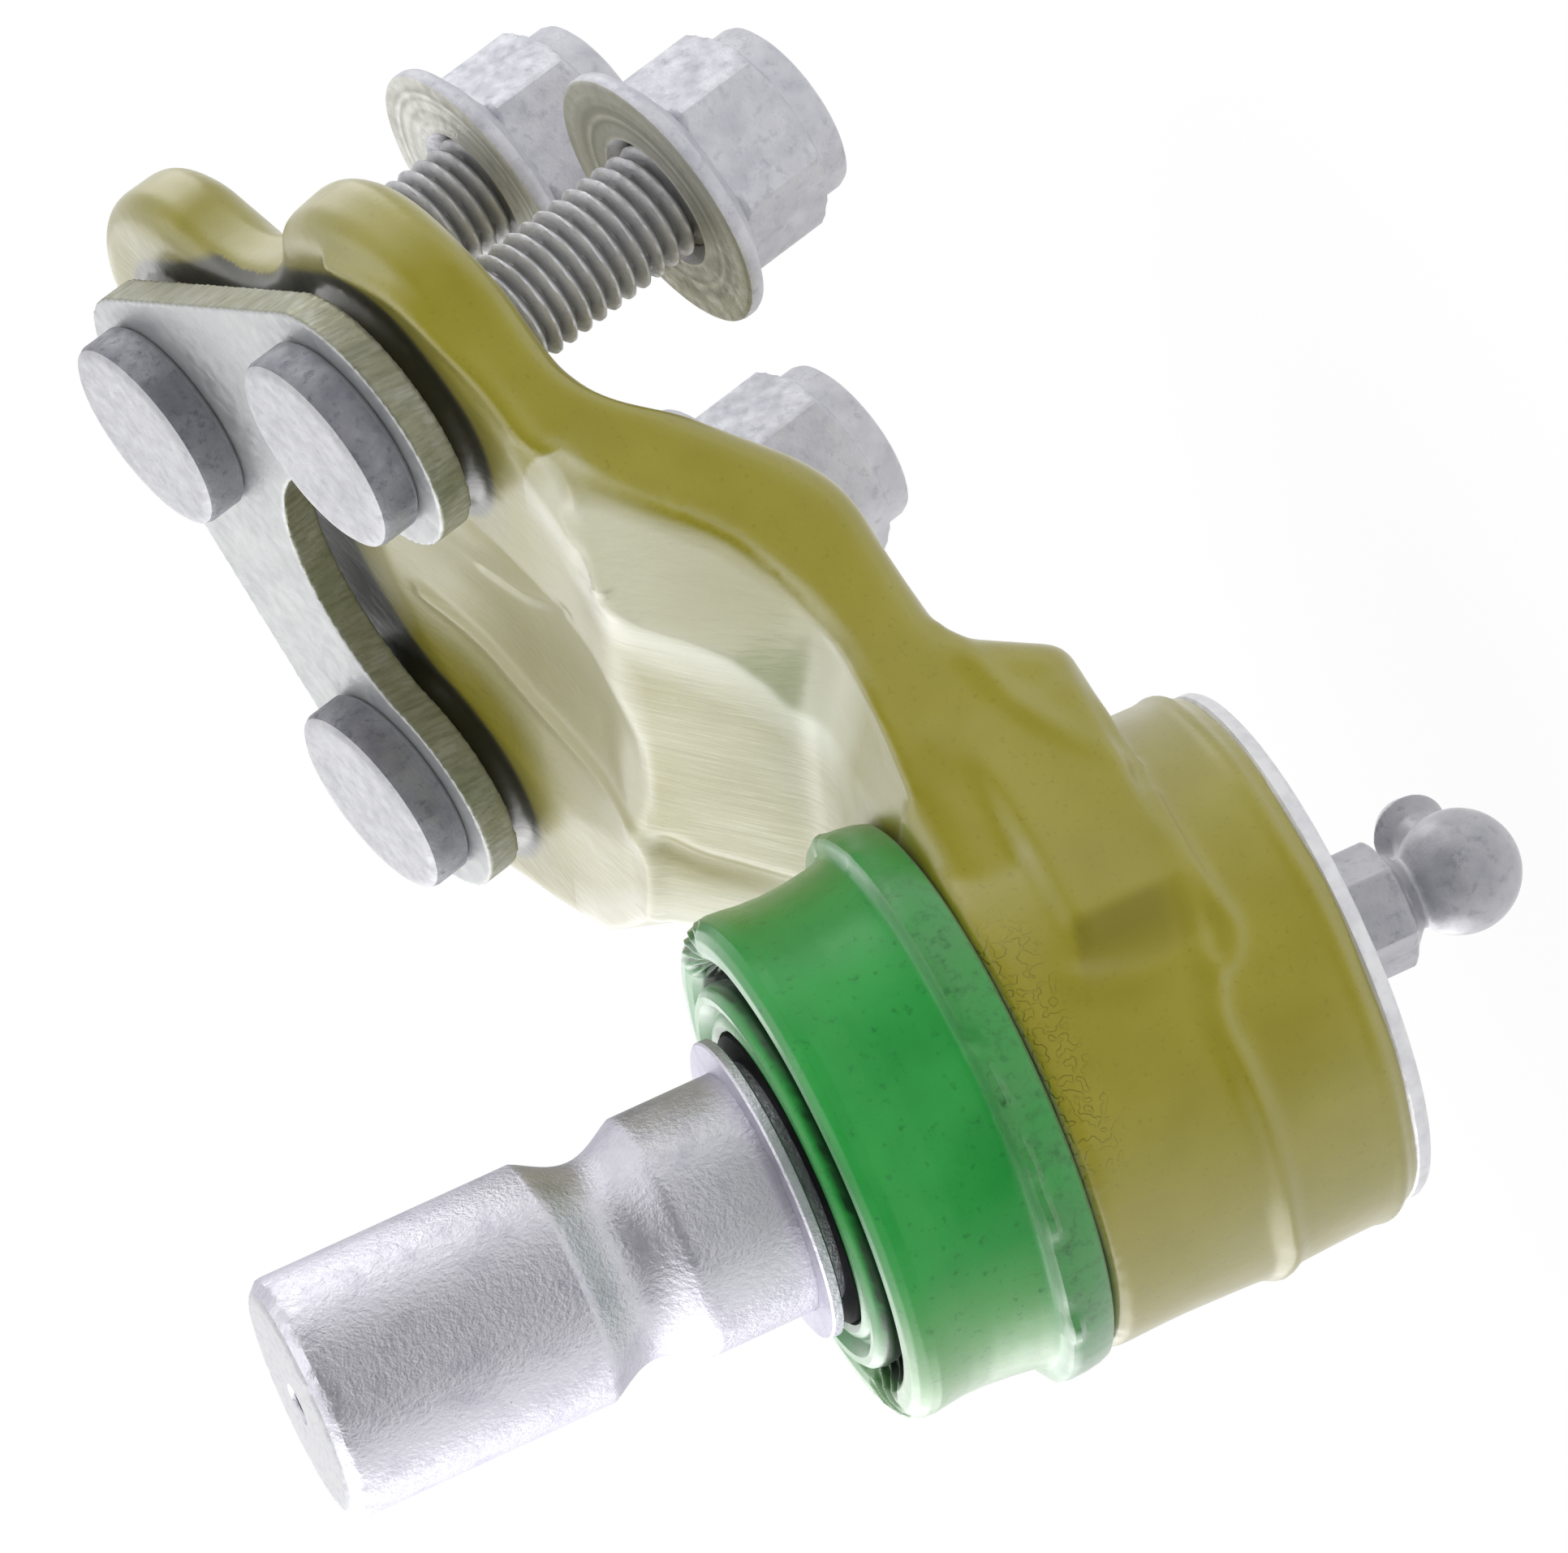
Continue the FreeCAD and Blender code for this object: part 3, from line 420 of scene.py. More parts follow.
forging = even_skin(forging, 0.42, 4)
skin, facing = points_of(forging.data), vectors_of(forging.data, "normal")
x, y, z = skin.T
outside = np.hypot(x, y) > 20.0
flash = rounded_line([(18.0, -20.6, -6.3), (13.2, -21.4, -6.9), (8.7, -20.5, -7.3), (4.3, -21.9, -7.1),
                      (0.5, -22.3, -6.9), (-3.7, -22.0, -7.1), (-6.0, -21.5, -7.4), (-7.1, -21.1, -7.3),
                      (-8.5, -20.6, -6.4), (-9.4, -20.2, -4.8), (-11.3, -19.2, -3.8), (-13.0, -18.1, -3.6),
                      (-15.2, -16.3, -3.9), (-19.1, -11.5, -4.2), (-21.8, -4.8, -4.2), (-22.3, -0.2, -4.4),
                      (-22.1, 3.2, -4.7), (-20.0, 9.9, -4.4), (-15.0, 16.5, -4.2), (-9.0, 20.4, -4.8),
                      (-4.0, 21.9, -7.0), (2.0, 22.2, -7.3), (12.0, 21.0, -7.2)])
second_flash = rounded_line([(5.5, -21.5, -6.6), (3.2, -22.1, -6.2), (-0.6, -22.3, -5.9), (-2.8, -22.1, -5.6),
                             (-5.0, -21.7, -5.3), (-6.8, -21.2, -4.8), (-7.6, -20.9, -4.4),
                             (-9.0, -20.4, -4.6)])
arm_fold = rounded_line([(26.0, -23.2, 0.6), (24.7, -23.1, 0.1), (21.7, -23.6, -0.4), (18.8, -23.2, -1.1),
                         (16.1, -22.8, -2.1), (13.1, -22.3, -3.7), (11.0, -22.0, -5.0), (9.2, -21.5, -5.9)])
flat_edge = rounded_line([(17.2, -23.2, 5.3), (15.1, -22.9, 4.6), (13.0, -22.5, 3.3), (10.1, -22.1, 2.7),
                          (7.3, -21.8, 3.1), (4.9, -21.8, 2.9), (2.2, -22.2, 2.9), (-0.9, -22.3, 3.3),
                          (-3.4, -22.0, 4.1), (-6.2, -21.4, 4.8)])
patch_foot = rounded_line([(-5.8, -21.5, 5.0), (-7.3, -21.1, 0.9), (-7.6, -21.0, -2.0), (-7.4, -21.0, -4.2)])
ridge_b = rounded_line([(68.8, -37.9, 30.8), (62.1, -41.0, 28.9), (57.2, -40.7, 27.1), (52.7, -38.7, 25.3),
                        (48.8, -36.5, 24.2), (46.5, -35.5, 22.8), (44.7, -34.5, 22.5), (41.3, -31.6, 23.0),
                        (39.6, -26.8, 23.0)])
ridge_c = rounded_line([(64.0, 5.4, 28.7), (60.7, 6.1, 27.1), (57.4, 6.9, 25.9), (52.8, 8.2, 24.6),
                        (47.7, 9.0, 23.5), (43.1, 9.1, 22.8), (39.9, 9.5, 22.6), (38.1, 12.2, 22.2),
                        (37.8, 17.9, 22.0), (38.2, 22.9, 22.3)])
nick = rounded_line([(57.0, -6.7, 25.7), (53.7, -7.7, 24.8), (50.7, -9.9, 24.3), (44.3, -17.2, 24.1)])
gully = rounded_line([(47.4, -36.0, 23.2), (44.8, -34.0, 23.6), (42.6, -32.4, 23.4), (40.8, -30.7, 23.3),
                      (40.8, -27.3, 23.5)])
lip_b = rounded_line([(46.6, -35.7, 22.2), (44.0, -34.2, 22.2), (41.5, -32.5, 22.2), (39.6, -30.7, 22.5),
                      (38.9, -27.7, 22.7), (38.7, -25.5, 22.6)])
sill = rounded_line([(39.0, -24.0, 22.7), (38.9, -16.7, 22.7), (40.6, -4.3, 22.0), (41.0, 2.6, 22.0),
                     (39.6, 6.8, 22.2), (38.0, 10.8, 22.1)])
valley = rounded_line([(36.7, 11.1, 21.0), (35.0, 12.7, 19.0), (32.8, 13.2, 16.5), (29.9, 13.4, 13.2)])
crest = rounded_line([(46.6, -36.2, 22.9), (43.3, -33.8, 20.5), (40.6, -31.9, 17.8), (37.9, -30.0, 13.7),
                      (32.4, -26.8, 9.7), (26.9, -24.7, 8.4), (21.1, -23.7, 8.5), (14.8, -22.5, 8.9)])
swell = np.zeros(len(skin))
for line, tall, wide_by in ((flash, 0.6, 0.95), (second_flash, 0.3, 0.8), (arm_fold, 0.42, 1.1),
                            (flat_edge, 0.15, 1.5), (patch_foot, 0.35, 1.3)):
    swell += outside * tall * np.exp(-(from_line(skin, line) / wide_by) ** 2)
# the crimp at the cup's foot waves a little on its way round
crimp_level = -14.1 - 0.25 * np.sin(2 * np.arctan2(y, x))
swell += (outside & (x < 22.0)) * 0.4 * np.exp(-((z - crimp_level) / 0.7) ** 2)
for line, tall, wide_by in ((ridge_b, 0.7, 0.85), (ridge_c, 0.5, 1.0), (nick, -0.3, 0.7), (gully, -0.35, 1.5),
                            (lip_b, 0.25, 1.5), (sill, 0.25, 2.0), (valley, -0.8, 1.7), (crest, 0.25, 0.9)):
    swell += tall * np.exp(-(from_line(skin, line) / wide_by) ** 2)
bumpy = np.array([noise.noise(Vector(point) * 0.11) for point in skin])
swell += 0.22 * bumpy * outside
set_points(forging.data, skin + facing * swell[:, None])


def store(mesh, name, values):
    """Keeps a mask in the mesh, for the material to read."""
    layer = mesh.attributes.new(name, "FLOAT", "POINT")
    layer.data.foreach_set("value", np.clip(values, 0.0, 1.0).astype(np.float32))


# painted sheen: the facets and the flange's open face are painted pale cream in place of the light tent's
# reflection
side, level = np.abs(y), skin @ height
far_in, far_out = np.interp(x, place_x, inner_y), np.interp(x, place_x, outer_y)
top_out = np.interp(x, place_x, outer_z)
painted_sheen = np.clip((far_out + 0.2 - side) / 1.2, 0, 1) * np.clip((side - far_in + 10.0) / 6.0, 0, 1)
painted_sheen *= np.clip((z - top_out + 1.5) / 1.0, 0, 1) * ramp(x, 22.0, 26.0) * ramp(x, 50.0, 45.0)
open_face_sheen = 0.35 * ramp(facing @ height, 0.85, 0.95) * ramp(level, 9.0, 11.0)
for u, v in bolt_places.values():
    open_face_sheen *= ramp(np.hypot(skin @ along - u, y - v), 15.0, 20.0)
store(forging.data, "painted_sheen", np.maximum(painted_sheen * (0.85 + 0.2 * bumpy), open_face_sheen))
# painted shade: the cup is darkened in the corner behind the flat pad's step
shade = np.clip((x + 6.6 + bumpy) / 3.5, 0, 1) * ramp(x, -1.2, -2.2)
shade *= np.clip((3.4 - 0.35 * (x + 1.2) - z) / 0.6, 0, 1) * ramp(z, -5.8, -2.8) * outside * (y < 0)
store(forging.data, "shade", 0.7 * shade)
slope_way = np.array((-0.727, 0.0, 0.688))
store(forging.data, "slope", ramp(facing @ slope_way, 0.7, 0.9) * (x > 20.0))
beside = np.clip((z - 5.5 - 1.5 * bumpy) / 2.0, 0, 1) * ramp(x, 3.0, -1.0) * ramp(x, -19.0, -15.0)
store(forging.data, "wrinkled", beside * outside * (y < 0))

bare_above, bare_radius, hole_radius = flange_top + 0.35, 9.0, 5.4
bore_radius, bore_top = 18.8, 15.0
bare = []
for face in forging.data.polygons:
    middle = np.array(face.center) / MM
    is_bare = math.hypot(middle[0], middle[1]) < bore_radius and middle[2] < bore_top
    for u, v in bolt_places.values():
        off = math.hypot(middle @ along - u, middle[1] - v)
        is_bare |= off < hole_radius or (off < bare_radius and middle @ height > bare_above)
    bare.append(int(is_bare))
forging.data.materials.append(olive.material)
forging.data.materials.append(milled.material)
forging.data.polygons.foreach_set("material_index", bare)
forging.data.update()
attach(forging, "housing")
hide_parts("forged_housing")


# Bearing: two moulded acetal seats hold the ball, and a rubber ring under the lower one keeps
# them tight. All three are hidden in the cup and keep their solids' shapes.
def dress(node, finish):
    """Gives a piece that keeps its solid's shape a finish."""
    solid = bpy.data.objects[node]
    solid.data.materials.clear()
    solid.data.materials.append(finish.material)


acetal = Finish("natural_acetal", (0.80, 0.79, 0.72), 0.45)
acetal.tint(acetal.speckle(6.0), (0.74, 0.72, 0.64))
acetal.relief(acetal.speckle(0.8), 0.01)
dress("upper_seat", acetal)
dress("lower_seat", acetal)
black_rubber = Finish("black_rubber", (0.03, 0.03, 0.03), 0.6)
black_rubber.tint(black_rubber.speckle(2.0), (0.05, 0.05, 0.05))
black_rubber.relief(black_rubber.speckle(0.6), 0.02)
dress("preload_ring", black_rubber)


# Cover: a pressed steel disc, zinc plated, that the rim of the cup is rolled over to hold.
# A shallow ring is pressed into its face round the nipple's thread.
def turned(name, profile, parts, shape=None, place=None, closer=()):
    """A closed turned piece. Each corner is (radius, height) in millimetres; shape may bend it, and
    closer lists spans of degrees (from, to, step) that need finer steps round the axis."""
    points, faces = [], []
    rows = len(profile)
    angles = [2 * math.pi * step / parts for step in range(parts)]
    for span in closer:
        low, high, fine = (math.radians(degrees) for degrees in span)
        angles = [angle for angle in angles if not low <= angle <= high]
        angles += [low + fine * step for step in range(int((high - low) / fine) + 1)]
    angles.sort()
    for angle in angles:
        for radius, level in profile:
            if shape is not None:
                radius, level = shape(radius, level, angle)
            points.append((radius * math.cos(angle) * MM, radius * math.sin(angle) * MM, level * MM))
    for step in range(len(angles)):
        here, there = step * rows, (step + 1) % len(angles) * rows
        for row in range(rows):
            after = (row + 1) % rows
            faces.append((here + row, there + row, there + after, here + after))
    mesh = bpy.data.meshes.new(name)
    mesh.from_pydata(points, [], faces)
    piece = placed(name, mesh)
    tidy(mesh, 35.0)
    if place is not None:
        mesh.transform(place)
    return piece


def tidy(mesh, degrees):
    """Welds points that meet on the axis, turns the faces outward and keeps sharp edges sharp."""
    work = bmesh.new()
    work.from_mesh(mesh)
    bmesh.ops.remove_doubles(work, verts=work.verts, dist=1e-7)
    bmesh.ops.dissolve_degenerate(work, edges=work.edges, dist=1e-8)
    bmesh.ops.recalc_face_normals(work, faces=work.faces)
    work.to_mesh(mesh)
    work.free()
    mesh.polygons.foreach_set("use_smooth", [True] * len(mesh.polygons))
    mesh.set_sharp_from_angle(angle=math.radians(degrees))


def sampled(corners, steps):
    """Extra points along each run of a profile, for shapes that are bent afterwards."""
    out = []
    for (r0, z0), (r1, z1) in zip(corners, corners[1:]):
        many = max(1, int(math.hypot(r1 - r0, z1 - z0) / steps))
        out += [(r0 + (r1 - r0) * step / many, z0 + (z1 - z0) * step / many) for step in range(many)]
    return out + [corners[-1]]


bright_zinc = Finish("bright_zinc", (0.78, 0.78, 0.80), 0.36, 0.6)
bright_zinc.tint(bright_zinc.speckle(2.2, 4.0, 0.4, 0.7), (0.68, 0.68, 0.71))
bright_zinc.gloss(bright_zinc.speckle(1.1), 0.28, 0.48)
bright_zinc.relief(bright_zinc.speckle(0.4, 3.0), 0.012)
cover_rows = [(3.05, -14.0), (19.3, -14.0), (19.3, -15.5), (21.2, -15.6), (21.45, -15.9), (21.45, -16.6),
              (21.2, -17.0), (20.8, -17.2), (16.0, -17.2), (15.4, -17.0), (14.2, -17.0), (13.6, -17.2),
              (3.05, -17.2)]
cover = turned("cover_disc", sampled(cover_rows, 1.5), 128)
cover.data.materials.append(bright_zinc.material)
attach(cover, "housing")
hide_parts("cover_plate")


# Grease nipple: a small turned fitting screwed into the cover, with a hexagon, a waist and a ball.
# The filling head stands out of the ball's side, and a steel ball on a spring shuts its mouth.
def flaked(name, light, deep):
    """Zinc flake coating: matt, a little blue, mottled with darker patches and specks."""
    finish = Finish(name, light, 0.5, 0.5)
    finish.tint(finish.speckle(3.2, 6.0, 0.42, 0.66), tuple(0.5 * (a + b) for a, b in zip(light, deep)))
    finish.tint(finish.speckle(1.1, 7.0, 0.53, 0.72, None, 0.7), deep)
    finish.gloss(finish.speckle(1.2), 0.42, 0.62)
    finish.relief(finish.speckle(0.3, 4.0, 0.3, 0.7), 0.02)
    return finish


turned_flake = flaked("zinc_flake_turned", (0.43, 0.43, 0.46), (0.25, 0.25, 0.29))
turned_flake.grazing(0.02, 0.4, 0.1, 1.0)
turned_flake.set({"Coat Roughness": 0.36, "Coat IOR": 1.9})
nipple = recast("nipple_body", "nipple_fitting", 0.2, 1)
grip = points_of(nipple.data)
out, turned_by = np.hypot(grip[:, 0], grip[:, 1]), np.arctan2(grip[:, 1], grip[:, 0])
hexagon_top, hexagon_foot = -17.3, -25.4
on_hex = ramp(grip[:, 2], hexagon_foot, hexagon_foot + 0.8) * (grip[:, 2] < hexagon_top)
on_hex *= ramp(out, 3.2, 4.0)
sixth = math.pi / 3
corner = turned_by[np.argmax(out * on_hex)]
# the hexagon's corners stand where its flats were, a twelfth of a turn on
flat_there = np.cos((turned_by - corner) % sixth - sixth / 2)
flat_here = np.cos((turned_by - corner + sixth / 2) % sixth - sixth / 2)
grip[:, :2] *= (1.0 + on_hex * (flat_there / flat_here - 1.0))[:, None]
set_points(nipple.data, grip)
nipple.data.materials.append(turned_flake.material)
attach(nipple, "housing")
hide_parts("nipple_body")
filler = recast("nipple_head", "nipple_filler", 0.12, 2)
filler.data.materials.append(turned_flake.material)
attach(filler, "housing")
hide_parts("nipple_head")
spring_steel = Finish("spring_steel", (0.40, 0.40, 0.42), 0.3, 1.0)
spring_steel.tint(spring_steel.speckle(0.6), (0.32, 0.32, 0.34))
spring_steel.relief(spring_steel.speckle(0.2), 0.004)
dress("nipple_check_ball", spring_steel)
dress("nipple_spring", spring_steel)


# Clamp plate: a three-lobed plate, sheared from sheet steel and zinc plated, that ties the three
# bolt heads together. Its faces are smooth and its sheared sides streaked across, and a shadow is
# painted dark onto the olive skin under its rim.
plate_zinc = Finish("plate_zinc", (0.52, 0.53, 0.53), 0.45, 0.5)
plate_zinc.tint(plate_zinc.speckle(3.0, 4.0, 0.42, 0.7), (0.46, 0.47, 0.475))
plate_zinc.gloss(plate_zinc.speckle(1.4), 0.36, 0.52)
plate_zinc.relief(plate_zinc.speckle(0.35, 3.0), 0.012)
# noise drawn out along the plate's thickness
lay = wired(plate_zinc.tree, "ShaderNodeMapping", {"Vector": plate_zinc.where},
            {"Rotation": (0.0, tilt, 0.0), "Scale": (1.0, 1.0, 0.12)})
sheared = plate_zinc.painted("side")
plate_zinc.tint(sheared, (0.30, 0.30, 0.205))
plate_zinc.tint(plate_zinc.times(sheared, plate_zinc.speckle(2.6, 4.0, 0.4, 0.65)), (0.38, 0.38, 0.32))
streaks = plate_zinc.speckle(0.4, 3.0, 0.4, 0.75, lay.outputs[0])
plate_zinc.tint(plate_zinc.times(sheared, streaks), (0.21, 0.21, 0.14))
plate_zinc.relief(plate_zinc.times(sheared, streaks), 0.02)
plate = recast("clamp_plate", "bolt_plate", 0.22, 3)
rows = points_of(plate.data)
plate_face, plate_inner = 17.2, 13.6
rows += height * (plate_lift * ramp(rows @ height, plate_face, plate_inner))[:, None]
set_points(plate.data, rows)
plate.data.materials.append(plate_zinc.material)
store(plate.data, "side", (0.75 - np.abs(vectors_of(plate.data, "normal") @ height)) / 0.35)
# painted shadow: the skin darkens within a short reach of the plate's outline, where its rim overhangs
shadow_reach, shadow_fade = 0.9, 0.7
shadow = KDTree(len(rows))
for number, spot in enumerate(rows):
    shadow.insert((spot @ along, spot[1], 0.0), number)
shadow.balance()
skin = points_of(forging.data)
under = np.zeros(len(skin))
for number in np.flatnonzero((skin @ height > 11.0) & (skin @ along > 48.0)):
    spot = skin[number]
    beyond = shadow.find((spot @ along, spot[1], 0.0))[2]
    under[number] = (shadow_reach - beyond) / shadow_fade
store(forging.data, "under", under)
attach(plate, "housing")
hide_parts("clamp_plate")


# Bolts: M10, cold headed with a thin flat round head and rolled threads, in zinc flake. The
# threads run up to the plate; the heads' rolled sides take a darker copy of the flake as painted
# shade, and the thread roots are darkened as painted shade.
def stand(name):
    """The place of a bolt: its axis square to the flange, up to the head."""
    u, v = bolt_places[name]
    spot = along * u + np.array((0.0, v, 0.0))
    axes = Matrix((along, (0.0, 1.0, 0.0), height)).transposed().to_4x4()
    return Matrix.Translation(Vector(spot) * MM) @ axes


def threaded(name, radius, pitch, low, high, place):
    """A rolled thread: crests 60 degrees apart with rounded roots, fading out at both ends."""
    parts, rows_a_turn = 56, 8
    rows = int((high - low) / pitch * rows_a_turn) + 1
    depth = 0.6 * pitch
    points, faces, roots = [], [], []
    for row in range(rows):
        level = low + (high - low) * row / (rows - 1)
        ease = min(1.0, (level - low) / pitch, (high - level) / (0.5 * pitch))
        for step in range(parts):
            angle = 2 * math.pi * step / parts
            phase = (level / pitch - step / parts) % 1.0
            crest = min(1.0, max(0.0, 1.25 - 2.5 * abs(phase - 0.5) * 1.15))
            inset = depth * (1.0 - crest) * max(0.0, ease)
            out = radius - inset
            # painted shade: the mask rises toward the thread's roots
            roots.append(1.15 * inset / depth - 0.15)
            points.append((out * math.cos(angle) * MM, out * math.sin(angle) * MM, level * MM))
    for row in range(rows - 1):
        for step in range(parts):
            after = (step + 1) % parts
            faces.append((row * parts + step, row * parts + after,
                          (row + 1) * parts + after, (row + 1) * parts + step))
    faces.append(tuple(reversed(range(parts))))
    faces.append(tuple((rows - 1) * parts + step for step in range(parts)))
    mesh = bpy.data.meshes.new(name)
    mesh.from_pydata(points, [], faces)
    piece = placed(name, mesh)
    tidy(mesh, 50.0)
    store(mesh, "root_shade", np.array(roots))
    mesh.transform(place)
    return piece


zinc_flake = flaked("zinc_flake", (0.55, 0.55, 0.57), (0.42, 0.42, 0.45))
# a darker copy of the zinc flake, as painted shade on the bolt heads' rolled sides
shaded_flake = flaked("zinc_flake_shaded", (0.31, 0.31, 0.34), (0.13, 0.13, 0.165))
thread_flake = flaked("zinc_flake_thread", (0.70, 0.70, 0.73), (0.50, 0.50, 0.54))
# painted shade in the thread roots
thread_flake.tint(thread_flake.painted("root_shade"), (0.22, 0.22, 0.215))
head_low, head_high, head_wide = 17.4, 21.25, 8.7
thread_radius, pitch, thread_long = 4.9, 1.5, 42.0
head_rows = [(0.0, head_low), (head_wide - 0.5, head_low), (head_wide, head_low + 0.5),
             (head_wide, head_high - 0.75), (head_wide - 0.2, head_high - 0.3),
             (head_wide - 0.65, head_high - 0.05), (head_wide - 1.2, head_high),
             (head_wide - 2.2, head_high - 0.03), (0.0, head_high - 0.06)]
for name in "abc":
    seat = stand(name)
    shank = threaded(f"bolt_{name}_thread", thread_radius, pitch,
                     head_low - thread_long, head_low + 0.4, seat)
    head = turned(f"bolt_{name}_head", sampled(head_rows, 1.2), 96, None, seat)
    head.data.materials.append(zinc_flake.material)
    head.data.materials.append(shaded_flake.material)
    # painted shade: the rolled sides take the darker copy of the flake
    rolled = [1 if abs(face.normal.dot(Vector(height))) < 0.5 else 0 for face in head.data.polygons]
    head.data.polygons.foreach_set("material_index", rolled)
    shank.data.materials.append(thread_flake.material)
    for piece in (shank, head):
        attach(piece, "housing")
        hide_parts(f"bolt_{name}")


# Flange nuts: 16 mm hexagons forged with a wide bearing flange and a round locking collar, in the
# same zinc flake. The bearing face is turned, which leaves fine rings, and its mouth is countersunk.
def hexed(wide, first, last, base, tip):
    """Bends the rows of a nut between two heights into a hexagon with chamfered ends."""
    round_within = 7.9

    def shape(radius, level, angle):
        if radius < round_within or not last <= level <= first:
            return radius, level
        side = math.radians(60)
        flat = (wide / 2) / math.cos((angle + side / 2) % side - side / 2)
        cut = wide / 2 + min((first - level) * base + 0.6, (level - last) * tip + 0.15)
        return min(flat, cut, wide / math.sqrt(3) - 0.12), level
    return shape


pale_flake = flaked("zinc_flake_pale", (0.66, 0.66, 0.705), (0.47, 0.47, 0.53))
bearing = flaked("zinc_flake_bearing", (0.84, 0.84, 0.81), (0.62, 0.62, 0.58))
bearing.tint(bearing.painted("ring"), (0.36, 0.36, 0.32))
ring_pitch, ring_depth, across_flats = 0.42, 0.08, 16.0
for name, face in (("a", -13.8), ("b", -13.8), ("c", -17.8)):
    body = [(4.93, face - 13.7), (4.93, face - 1.05), (5.95, face)]
    body += [(5.95 + ring_pitch * step, face - ring_depth * (step % 2)) for step in range(1, 12)]
    body += [(11.1, face), (11.4, face - 0.12), (11.5, face - 0.4), (11.5, face - 1.0), (11.35, face - 1.35),
             (10.9, face - 1.6), (9.9, face - 2.2), (9.1, face - 2.9)]
    body += [(9.2, face - 3.0 - 0.3 * step) for step in range(27)]
    body += [(7.7, face - 10.95), (7.6, face - 11.3), (7.6, face - 12.9), (7.4, face - 13.4),
             (6.9, face - 13.7)]
    hexagon = hexed(across_flats, face - 2.9, face - 10.85, 1.4, 1.7)
    nut = turned(f"nut_{name}_body", body, 120, hexagon, stand(name))
    nut.data.materials.append(pale_flake.material)
    nut.data.materials.append(bearing.material)
    nut.data.polygons.foreach_set("material_index", [
        1 if np.array(part.center) @ height / MM > face - 0.2 else 0 for part in nut.data.polygons])
    spots = points_of(nut.data)
    u, v = bolt_places[name]
    off = np.hypot(spots @ along - u, spots[:, 1] - v)
    rings = [0.35 + 1.1 * noise.noise(Vector((ring * 1.9, u, v))) for ring in off]
    store(nut.data, "ring", np.array(rings))
    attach(nut, "housing")
    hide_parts(f"nut_{name}")


# Dust boot: moulded green rubber, clipped over the cup's spigot by a wire in its bead. The moulding
# leaves a torn flash along the bead, and fans of nested creases run into the fold's inner side.
green_rubber = Finish("green_rubber", (0.02, 0.32, 0.05), 0.34)
green_rubber.tint(green_rubber.speckle(7.0, 2.0), (0.03, 0.38, 0.062))
# painted light: a pale yellowish green on one side of the boot
green_rubber.tint(green_rubber.painted("pale"), (0.36, 0.62, 0.25))
green_rubber.tint(green_rubber.speckle(0.8, 4.0, 0.6, 0.8), (0.008, 0.17, 0.03))
green_rubber.tint(green_rubber.painted("dusty"), (0.075, 0.30, 0.085))
grime = green_rubber.speckle(1.1, 6.0, 0.5, 0.72, None, 0.7)
green_rubber.tint(green_rubber.times(green_rubber.painted("dusty"), grime), (0.02, 0.12, 0.03))
# painted shade: near black green in the groove under the fold, along the creases and on the lip's lower outer
# wall
green_rubber.tint(green_rubber.painted("groove"), (0.004, 0.045, 0.01))
green_rubber.gloss(green_rubber.speckle(2.4), 0.26, 0.42)
green_rubber.relief(green_rubber.speckle(0.7, 3.0), 0.012)
green_rubber.relief(green_rubber.speckle(5.0, 2.0), 0.05)
green_rubber.grazing(0.05, 0.6, 0.2, 1.0)
green_rubber.set({"Specular IOR Level": 0.2, "Coat Roughness": 0.3, "Coat IOR": 1.6,
                  "Sheen Weight": 0.15, "Sheen Roughness": 0.4})
fold_middle = (19.2, 24.0)
fold_low, fold_inner = 22.8, 17.2
crease_seams, crease_spread, crease_deep = (338.0, 142.0), 14.0, 0.45
flash_runs, flash_nick = ((230.0, 22.0), (186.0, 5.0)), (253.0, 3.0)


def near(angle, degrees, width):
    """1 at an angle round the axis, falling to 0 at a width in degrees on both sides."""
    off = abs((math.degrees(angle) - degrees + 180.0) % 360.0 - 180.0)
    return max(0.0, 1.0 - off / width)


def creased(radius, level, angle):
    """Nested creases where the mould's halves met: their way round the fold and their depth."""
    bow = math.atan2(level - fold_middle[1], radius - fold_middle[0])
    depth = 0.0
    for seam in crease_seams:
        wave = math.sin(bow * 9.0 + math.radians(22.0) * (math.degrees(angle) - seam)) ** 2
        fan = min(1.0, 2.0 * near(angle, seam, crease_spread))
        depth += wave * fan * min(1.0, max(0.0, (level - fold_low) / 1.2))
    depth *= min(1.0, max(0.0, (bow - 0.7) / 0.5))
    return bow, depth


def boot_shape(radius, level, angle):
    """Uneven walls, torn flash along the bead's front edge and creases in the fold."""
    wave = noise.noise(Vector((math.cos(angle) * 2, math.sin(angle) * 2, level * 0.15)))
    radius += 0.12 * wave
    ragged = noise.noise(Vector((math.cos(angle) * 8, math.sin(angle) * 8, 3.0)))
    if 13.8 < level < 15.1 and radius > 22.0:
        strip = sum(min(1.0, 3.0 * near(angle, *run)) for run in flash_runs)
        radius += strip * max(0.0, 0.45 + 0.7 * ragged) - 0.9 * near(angle, *flash_nick)
        radius += max(0.0, 0.25 * ragged)
    elif level > fold_low and radius > fold_inner:
        bow, depth = creased(radius, level, angle)
        radius -= crease_deep * depth * math.cos(bow)
        level -= crease_deep * depth * math.sin(bow)
    return radius, level


